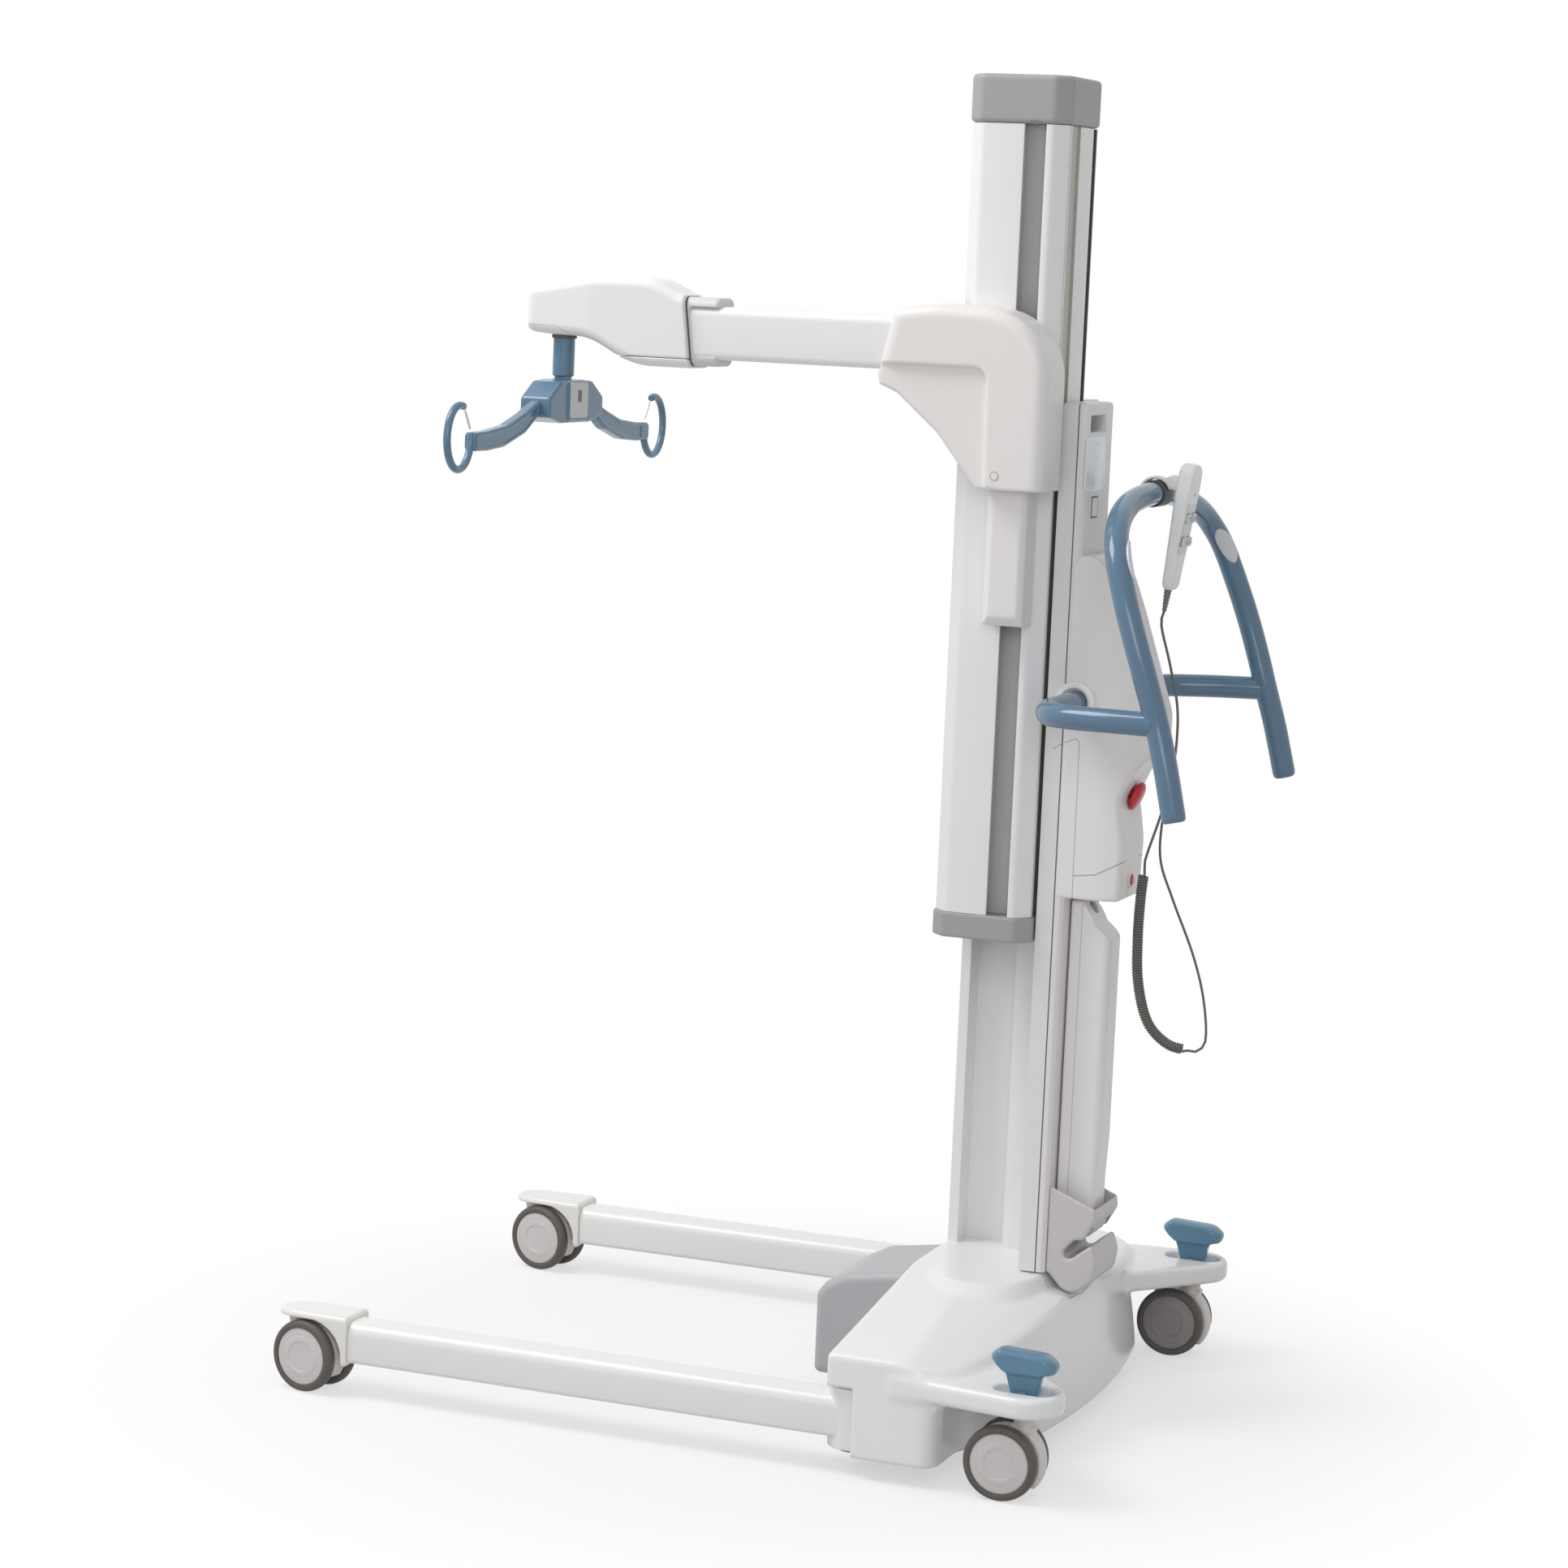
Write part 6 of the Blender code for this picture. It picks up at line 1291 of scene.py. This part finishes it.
# Rear cover
# The moulded bulge that houses the control unit, screwed to the column; the handle's stays, the
# emergency stop, the lowering release and the cord come out of it.
boss_x, boss_y, boss_z = 0.0603, 0.388, 0.999
cover_half = 0.0606
cover_view = fillet([(0.3735, 0.732), (0.3735, 1.198, 0.02), (0.414, 1.198, 0.028), (0.448, 1.118, 0.1),
                     (0.498, 0.985, 0.05), (0.497, 0.94, 0.02), (0.47, 0.905, 0.02),
                     (0.453, 0.87, 0.03), (0.463, 0.81, 0.1), (0.46, 0.732, 0.004)], 10)


def rear_cover_field(x, y, z):
    """Side view drawn across and cut by two slanting planes that narrow it to the rear, with a
    shallow room for each of the handle's bosses."""
    aside = abs(x)
    body = thick(flat_field(cover_view, y, z), x, -cover_half, cover_half, 0.003)
    taper = ((aside - 0.065) * 0.068 + (y - 0.432) * 0.025) / 0.07245
    body = both(body, taper, 0.008)
    rooms = np.maximum(np.hypot(y - boss_y, z - boss_z) - 0.0293, 0.06 - aside)
    return both(body, -rooms, 0.0006)


def rear_cover_marks(board, shown):
    """Two seams on each side: one slants across the foot, one goes on from the column's slanting line,
    whose shadow under a small ledge is painted on its first stretch, and turns down."""
    x, y, z = board.spots()
    side = board.rise(abs(x), 0.03, 0.034)
    fold = board.stroke(y, z, [(0.3975, 0.764), (0.4283, 0.768), (0.466, 0.7885)])
    shown = board.blend(board.rise(fold, 0.0012, 0.0004) * side * 0.65, shown, tint(112, 111, 112))
    # The first stretch goes on from the column's line: a seam with the painted shadow of a small ledge.
    line = board.stroke(y, z, [(0.3725, 0.942), (0.392, 0.9505), (0.3965, 0.945), (0.3975, 0.73)])
    return board.blend(board.rise(line, 0.0011, 0.0004) * side * 0.5, shown, tint(122, 121, 122))


moulding("rear_cover_shell", rear_cover_field, (-cover_half, 0.3735, 0.732), (cover_half, 0.498, 1.198),
         0.0028, moulded("rear_cover_white", (238, 235, 234), 0.38, 0.2, finish=rear_cover_marks), "base",
         "rear_cover")


# Emergency stop, release and gland
# A red mushroom button on a darker collar, a red push release in a white ring, and the tapered
# rubber gland where the cord goes in.
stop_seat = np.array((0.0, 0.4485, 0.878))
stop_axis = unit(np.array((0.0, 0.93, -0.37)))
signal_red = moulded("signal_red", (206, 32, 44), 0.3, 0.1)
collar = turned([(0.0, -0.0075), (0.018, -0.0075), (0.018, 0.0022), (0.0168, 0.0034), (0.015, 0.0046),
                 (0.014, 0.009), (0.0, 0.009)], stop_seat, stop_axis, 56)
enter("stop_collar", collar, moulded("collar_red", (150, 24, 34), 0.4, 0.1), "base", ends="open")
knob = turned([(0.0, 0.0232), (0.009, 0.0229), (0.0158, 0.0214), (0.0192, 0.019), (0.0203, 0.0165),
               (0.0199, 0.0138), (0.0188, 0.0125), (0.0068, 0.014), (0.0068, -0.0035), (0.0, -0.0035)],
              stop_seat, stop_axis, 96)
rib_count, rib_depth = 24, 0.022
ribs = 1.0 - rib_depth * (0.5 + 0.5 * np.cos(rib_count * full_turn(96)))
rim = np.zeros(10)
rim[2:7] = 1.0
hub = stop_seat + (((knob - stop_seat) @ stop_axis)[..., None]) * stop_axis
knob = hub + (knob - hub) * (1 - rim[:, None, None] * (1 - ribs[None, :, None]))
enter("stop_knob", knob, signal_red, "stop_button", "stop_button", ends="open", sharp=50.0)
ring = turned([(0.0082, -0.002), (0.0115, -0.002), (0.0115, 0.0012), (0.0108, 0.0018), (0.0088, 0.0018),
               (0.0082, 0.0012)], (0.0, 0.461, 0.757), (0, 1, 0), 40)
enter("release_ring", ring, shell_white, "base", ends="joined")
push = turned([(0.0, 0.003), (0.0062, 0.0028), (0.0076, 0.002), (0.0078, -0.0033), (0.0, -0.0033)],
              (0.0, 0.4615, 0.757), (0, 1, 0), 40)
enter("release_push", push, signal_red, "lowering_release", "lowering_release", ends="open")
gland_profile = np.array([(0.0, -0.0069), (0.005, -0.0069), (0.005, 0.0), (0.0046, 0.001),
                          (0.0044, 0.0022), (0.0046, 0.0028), (0.004, 0.0036), (0.0042, 0.0044),
                          (0.0034, 0.0056), (0.0032, 0.008), (0.0, 0.008)])
gland_rings = turned(gland_profile, np.array(gland_place), np.array(gland_axis), 32)
enter("gland_sleeve", gland_rings, rubbery("gland_rubber", (110, 106, 103), 0.5), "base", "cord_gland",
      ends="open")


# Handle
# A hoop of bent tube with a blue coat, held by two stays that are welded to its uprights and end
# in white ring bosses at the rear cover; oval grip plates lie on the bends and a dark sleeve on top
# carries the handset.
handle_blue = coated("handle_blue", (90, 122, 148), 0.15, 0.16)
arch_half = [(0.286, 0.596, 0.88), (0.282, 0.579, 0.95), (0.278, 0.5645, 1.0), (0.279, 0.549, 1.05),
             (0.279, 0.532, 1.1), (0.273, 0.514, 1.15), (0.258, 0.496, 1.2), (0.231, 0.483, 1.233),
             (0.19, 0.474, 1.256), (0.125, 0.467, 1.273), (0.06, 0.466, 1.281), (0.0, 0.466, 1.283)]
arch_line = smooth_path(arch_half + [(-x, y, z) for x, y, z in reversed(arch_half[:-1])], 0.008)
handle_radius = 0.016
end_round = 0.003
arch_line = np.vstack((arch_line[:1], arch_line[:1] - end_round * unit(arch_line[0] - arch_line[1]),
                       arch_line[1:-1],
                       arch_line[-1:] - end_round * unit(arch_line[-1] - arch_line[-2]), arch_line[-1:]))
arch_radius = np.full(len(arch_line), handle_radius)
arch_radius[[0, -1]] -= end_round
arch_radius[[1, -2]] -= 0.0005
arch_rings = tube_rings(arch_line, arch_radius, 28, (0, 1, 0))
enter("handle_hoop", arch_rings, handle_blue, "base", "handle_arch", sharp=50.0)
for side, s in sides:
    stay_half = np.array([(boss_x, boss_y, boss_z), (0.1, 0.388, 0.999), (0.15, 0.388, 0.999),
                          (0.185, 0.389, 0.999), (0.22, 0.401, 0.999), (0.246, 0.426, 1.0),
                          (0.26, 0.46, 1.001), (0.27, 0.5, 1.002), (0.2785, 0.562, 1.003)])
    stay_rings = tube_rings(smooth_path(stay_half * (s, 1, 1), 0.008), handle_radius, 28, (0, 0, 1))
    enter("handle_stay_tube_" + side, stay_rings, handle_blue, "base", "handle_stay_" + side, sharp=50.0)
    boss = turned([(0.017, 0.0), (0.0285, 0.0), (0.0285, 0.0058), (0.0278, 0.0072), (0.0264, 0.0079),
                   (0.0212, 0.0079), (0.0198, 0.007), (0.0188, 0.003), (0.017, 0.002)],
                  (s * boss_x, boss_y, boss_z), (s, 0, 0), 64)
    enter("handle_boss_ring_" + side, boss, shell_white, "base", "handle_boss_" + side, ends="joined")


def grip_plate(name, along, around, half_along, half_around):
    """An oval plate that follows the tube: a disc, with its radius as one parameter and its angle
    as the other, wrapped on the tube 2.4 mm proud of it, with its rim let in."""
    heading = unit(np.gradient(arch_line, axis=0))
    across = unit(np.cross(heading, (0.0, 1.0, 0.0)))
    other = np.cross(heading, across)
    length = measured(arch_line)
    rows = np.linspace(0.0, 1.0, 12)[:, None]
    turn = full_turn(48)[None, :]
    place = along * length[-1] + half_along * rows * np.cos(turn)
    angle = around + half_around * rows * np.sin(turn)
    lift = np.where(rows > 0.94, -0.0004, 0.0024) * np.ones_like(turn)
    spot, first, second = (read_at(place, length, part) for part in (arch_line, across, other))
    out = first * np.cos(angle)[..., None] + second * np.sin(angle)[..., None]
    surface = spot + out * (handle_radius + lift)[..., None]
    under = spot + out * (handle_radius - 0.002)
    rings = np.vstack((surface, under[::-1]))
    enter(name, rings, moulded(name + "_grey", (214, 219, 223), 0.35, 0.1), "base", ends="open", sharp=40.0)


for side, s in sides:
    grip_plate("grip_plate_" + side, 0.5 - s * 0.222, math.radians(-64 - s * 18), 0.034, 0.74)
rest = turned([(0.0162, -0.022), (0.0178, -0.022), (0.0182, -0.0214), (0.0182, 0.0214),
               (0.0178, 0.022), (0.0162, 0.022)], (-0.006, 0.466, 1.2829), (1, 0, 0), 48)
enter("handset_rest_sleeve", rest, rubbery("rest_rubber", (70, 72, 76), 0.5), "base", "handset_rest",
      ends="joined")


# Battery and holder
# A clip-in battery with cut rear corners and a round turning latch at its top, stood in a grey
# moulded cradle with a hooked slot in its cheek.
battery_half, battery_low, battery_high = 0.03, 0.29, 0.726
battery_front, battery_rear = 0.3875, 0.445
battery_view = fillet([(battery_front, battery_low, 0.003), (0.441, battery_low, 0.003),
                       (0.441, 0.34, 0.02), (battery_rear, 0.4, 0.05), (battery_rear, 0.676, 0.007),
                       (0.424, 0.694, 0.007), (0.418, 0.706, 0.006), (0.404, battery_high, 0.007),
                       (battery_front, battery_high, 0.003)], 8)
latch_middle = np.array((0.0, 0.4125, 0.7155))
latch_axis = unit(np.array((0.0, 0.82, 0.57)))


def battery_field(x, y, z):
    """Side view drawn across, with a chamfer down each rear corner and a room for the latch."""
    body = thick(flat_field(battery_view, y, z), x, -battery_half, battery_half, 0.004)
    body = both(body, (abs(x) - 0.0225 + y - battery_rear) / math.sqrt(2), 0.003)
    along = (y - latch_middle[1]) * latch_axis[1] + (z - latch_middle[2]) * latch_axis[2]
    away = (y - latch_middle[1]) ** 2 + (z - latch_middle[2]) ** 2 - along ** 2
    off = np.sqrt(np.maximum(away, 0) + x * x)
    return np.maximum(body, -np.maximum(off - 0.0087, -0.006 - along))


def battery_marks(board, shown):
    """Dark joint line between the two half shells, down the side."""
    x, y, z = board.spots()
    line = abs(y - 0.404)
    return board.blend(board.rise(line, 0.0009, 0.0004) * board.rise(abs(x), 0.029, 0.0296) * 0.5,
                       shown, tint(140, 138, 138))


moulding("battery_case", battery_field, (-battery_half, battery_front, battery_low),
         (battery_half, battery_rear, battery_high), 0.0021,
         moulded("battery_white", (240, 238, 237), 0.36, 0.15, finish=battery_marks),
         "battery", "battery")
latch = turned([(0.0, 0.0012), (0.007, 0.001), (0.008, 0.0004), (0.0083, -0.0058), (0.0, -0.0058)],
               latch_middle, latch_axis, 40)
enter("battery_latch_disc", latch, cap_grey, "battery_latch", "battery_latch", ends="open")
holder_half, holder_front = 0.055, 0.3853
holder_view = fillet([(holder_front, 0.333), (0.451, 0.3065, 0.004), (0.4535, 0.292, 0.012),
                      (0.438, 0.2625, 0.01), (0.4225, 0.26, 0.01), (0.409, 0.244, 0.006),
                      (0.411, 0.2325, 0.006), (0.421, 0.2345, 0.005), (0.4375, 0.248, 0.02),
                      (0.4485, 0.2565, 0.004), (0.457, 0.233, 0.02), (0.453, 0.205, 0.022),
                      (0.419, 0.1795, 0.024), (0.391, 0.209, 0.022), (holder_front, 0.2134)], 12)


def holder_field(x, y, z):
    """Side view drawn across with soft edges and opened from above: thin cheeks and a rear wall stay
    round the battery, with a dark gap between, and a block below it carries it."""
    view = flat_field(holder_view, y, z)
    body = thick(view, x, -holder_half, holder_half, 0.004)
    room = both(np.maximum(abs(x) - 0.0515, 0.26 - z), y - 0.4485 - (z - 0.295) * 0.12, 0.004)
    stand = overlap(abs(x) - battery_half, z - 0.2893, y - 0.444)
    return both(np.minimum(both(body, -room, 0.0012), np.maximum(body, stand)), holder_front - y, 0.001)


moulding("battery_cradle", holder_field, (-holder_half, holder_front, 0.182),
         (holder_half, 0.456, 0.333), 0.0018,
         moulded("cradle_grey", (206, 203, 201), 0.42, 0.25), "base", "battery_holder")


# Handset
# A white pendant with four keys, its hook over the handle's dark sleeve; the cord leaves it through
# a ribbed strain relief.
lean_cos, lean_sin = math.cos(handset_lean), -math.sin(handset_lean)
top_y, top_z = 0.466, 1.283
handset_face = fillet([(-0.0195, -handset_half, 0.013), (0.0195, -handset_half, 0.013),
                       (0.025, 0.04, 0.03), (0.0215, handset_half, 0.016),
                       (-0.0215, handset_half, 0.016), (-0.025, 0.04, 0.03)], 8)
hook_view = np.vstack((arc((top_y, top_z), 0.0194, 20, 185, 30), arc((top_y, top_z), 0.0234, 185, 62, 24),
                       [(0.49, 1.309), (0.503, 1.3), (0.503, 1.288)]))
key_rows = (("key_raise", -0.012, 0.014, 1.0), ("key_lower", 0.012, 0.014, -1.0),
            ("key_open", -0.012, -0.018, 1.0), ("key_close", 0.012, -0.018, -1.0))


def handset_local(y, z):
    """Y and z turned into the handset's own lean."""
    up_y, up_z = y - handset_middle[1], z - handset_middle[2]
    return lean_cos * up_y + lean_sin * up_z, lean_cos * up_z - lean_sin * up_y


def handset_field(x, y, z):
    """Face outline through the body's thickness with soft edges, the hook, four key pockets, and a
    room for the handle's top that is open below."""
    across = x - handset_middle[0]
    out, along = handset_local(y, z)
    deep = 0.0098 + 0.0016 * np.clip(along / 0.06, -1, 1)
    body = both(flat_field(handset_face, across, along), abs(out - 0.002) - deep, 0.006)
    hook = thick(flat_field(hook_view, y, z), across, -0.0095, 0.0095, 0.002)
    whole = either(body, hook, 0.003)
    for name, key_x, key_z, way in key_rows:
        pocket = np.maximum(np.maximum(abs(across - key_x), abs(along - key_z)) - 0.0063, 0.009 - out)
        whole = np.maximum(whole, -pocket)
    handle_room = np.hypot(y - top_y, z - top_z) - 0.0192
    lift_room = np.maximum(abs(y - top_y) - 0.019, z - top_z)
    return np.maximum(whole, -np.minimum(handle_room, lift_room))


def handset_marks(board, shown):
    """Grey panel behind the keys, with one round green lamp above it."""
    x, y, z = board.spots()
    along = (z - handset_middle[2]) * lean_cos - (y - handset_middle[1]) * lean_sin
    across = x - handset_middle[0]
    face = board.rise(y, 0.503, 0.506)
    panel = board.most(abs(across) - 0.0215, abs(along + 0.001) - 0.034)
    shown = board.blend(board.rise(panel, 0.0006, 0.0) * face * 0.55, shown, tint(188, 192, 196))
    lamp = (across * across + (along - 0.046) * (along - 0.046)) ** 0.5
    return board.blend(board.rise(lamp, 0.003, 0.0026) * face, shown, tint(120, 160, 92))


moulding("handset_shell", handset_field, (-0.034, 0.44, 1.15), (0.022, 0.53, 1.329), 0.0013,
         moulded("handset_white", (240, 240, 240), 0.34, 0.12, finish=handset_marks), "handset", "handset")
for name, key_x, key_z, way in key_rows:

    def key_field(x, y, z):
        """A square key with soft edges, crowned a little."""
        across = x - handset_middle[0] - key_x
        out, along = handset_local(y, z)
        crown = 0.0158 - 6.0 * (across ** 2 + (along - key_z) ** 2)
        return both(both(abs(across) - 0.006, abs(along - key_z) - 0.006, 0.0015),
                    np.maximum(out - crown, 0.011 - out), 0.0008)

    def key_marks(board, shown):
        """A plain dark arrow head that points up or down."""
        x, y, z = board.spots()
        along = (z - handset_middle[2]) * lean_cos - (y - handset_middle[1]) * lean_sin - key_z
        across = abs(x - handset_middle[0] - key_x)
        slope = board.most(across + along * (0.6 * way) - 0.0018, along * -way - 0.0024)
        return board.blend(board.rise(slope, 0.0003, -0.0001), shown, tint(70, 74, 80))

    middle = np.array(handset_middle + lean @ Vector((key_x, 0.0145, key_z)))
    moulding(name + "_cap", key_field, middle - (0.0068, 0.005, 0.0075), middle + (0.0068, 0.005, 0.0075),
             0.0007, moulded(name + "_grey", (214, 217, 220), 0.4, 0.1, finish=key_marks), name, name)
relief_along = np.linspace(-0.004, relief_length, 35)
grooves = (np.sin(relief_along / 0.0045 * 2 * math.pi) < -0.2) * (relief_along > 0.002)
relief_radius = 0.0054 - 0.0024 * relief_along / relief_length - 0.0006 * grooves
relief_root = np.array(handset_middle + lean @ Vector((0, 0, -handset_half)))
relief_line = relief_root + relief_along[:, None] * relief_way
relief_rings = tube_rings(relief_line, relief_radius, 20, (0, 1, 0))
enter("handset_relief", relief_rings, rubbery("relief_rubber", (124, 116, 111), 0.5), "handset", "handset")
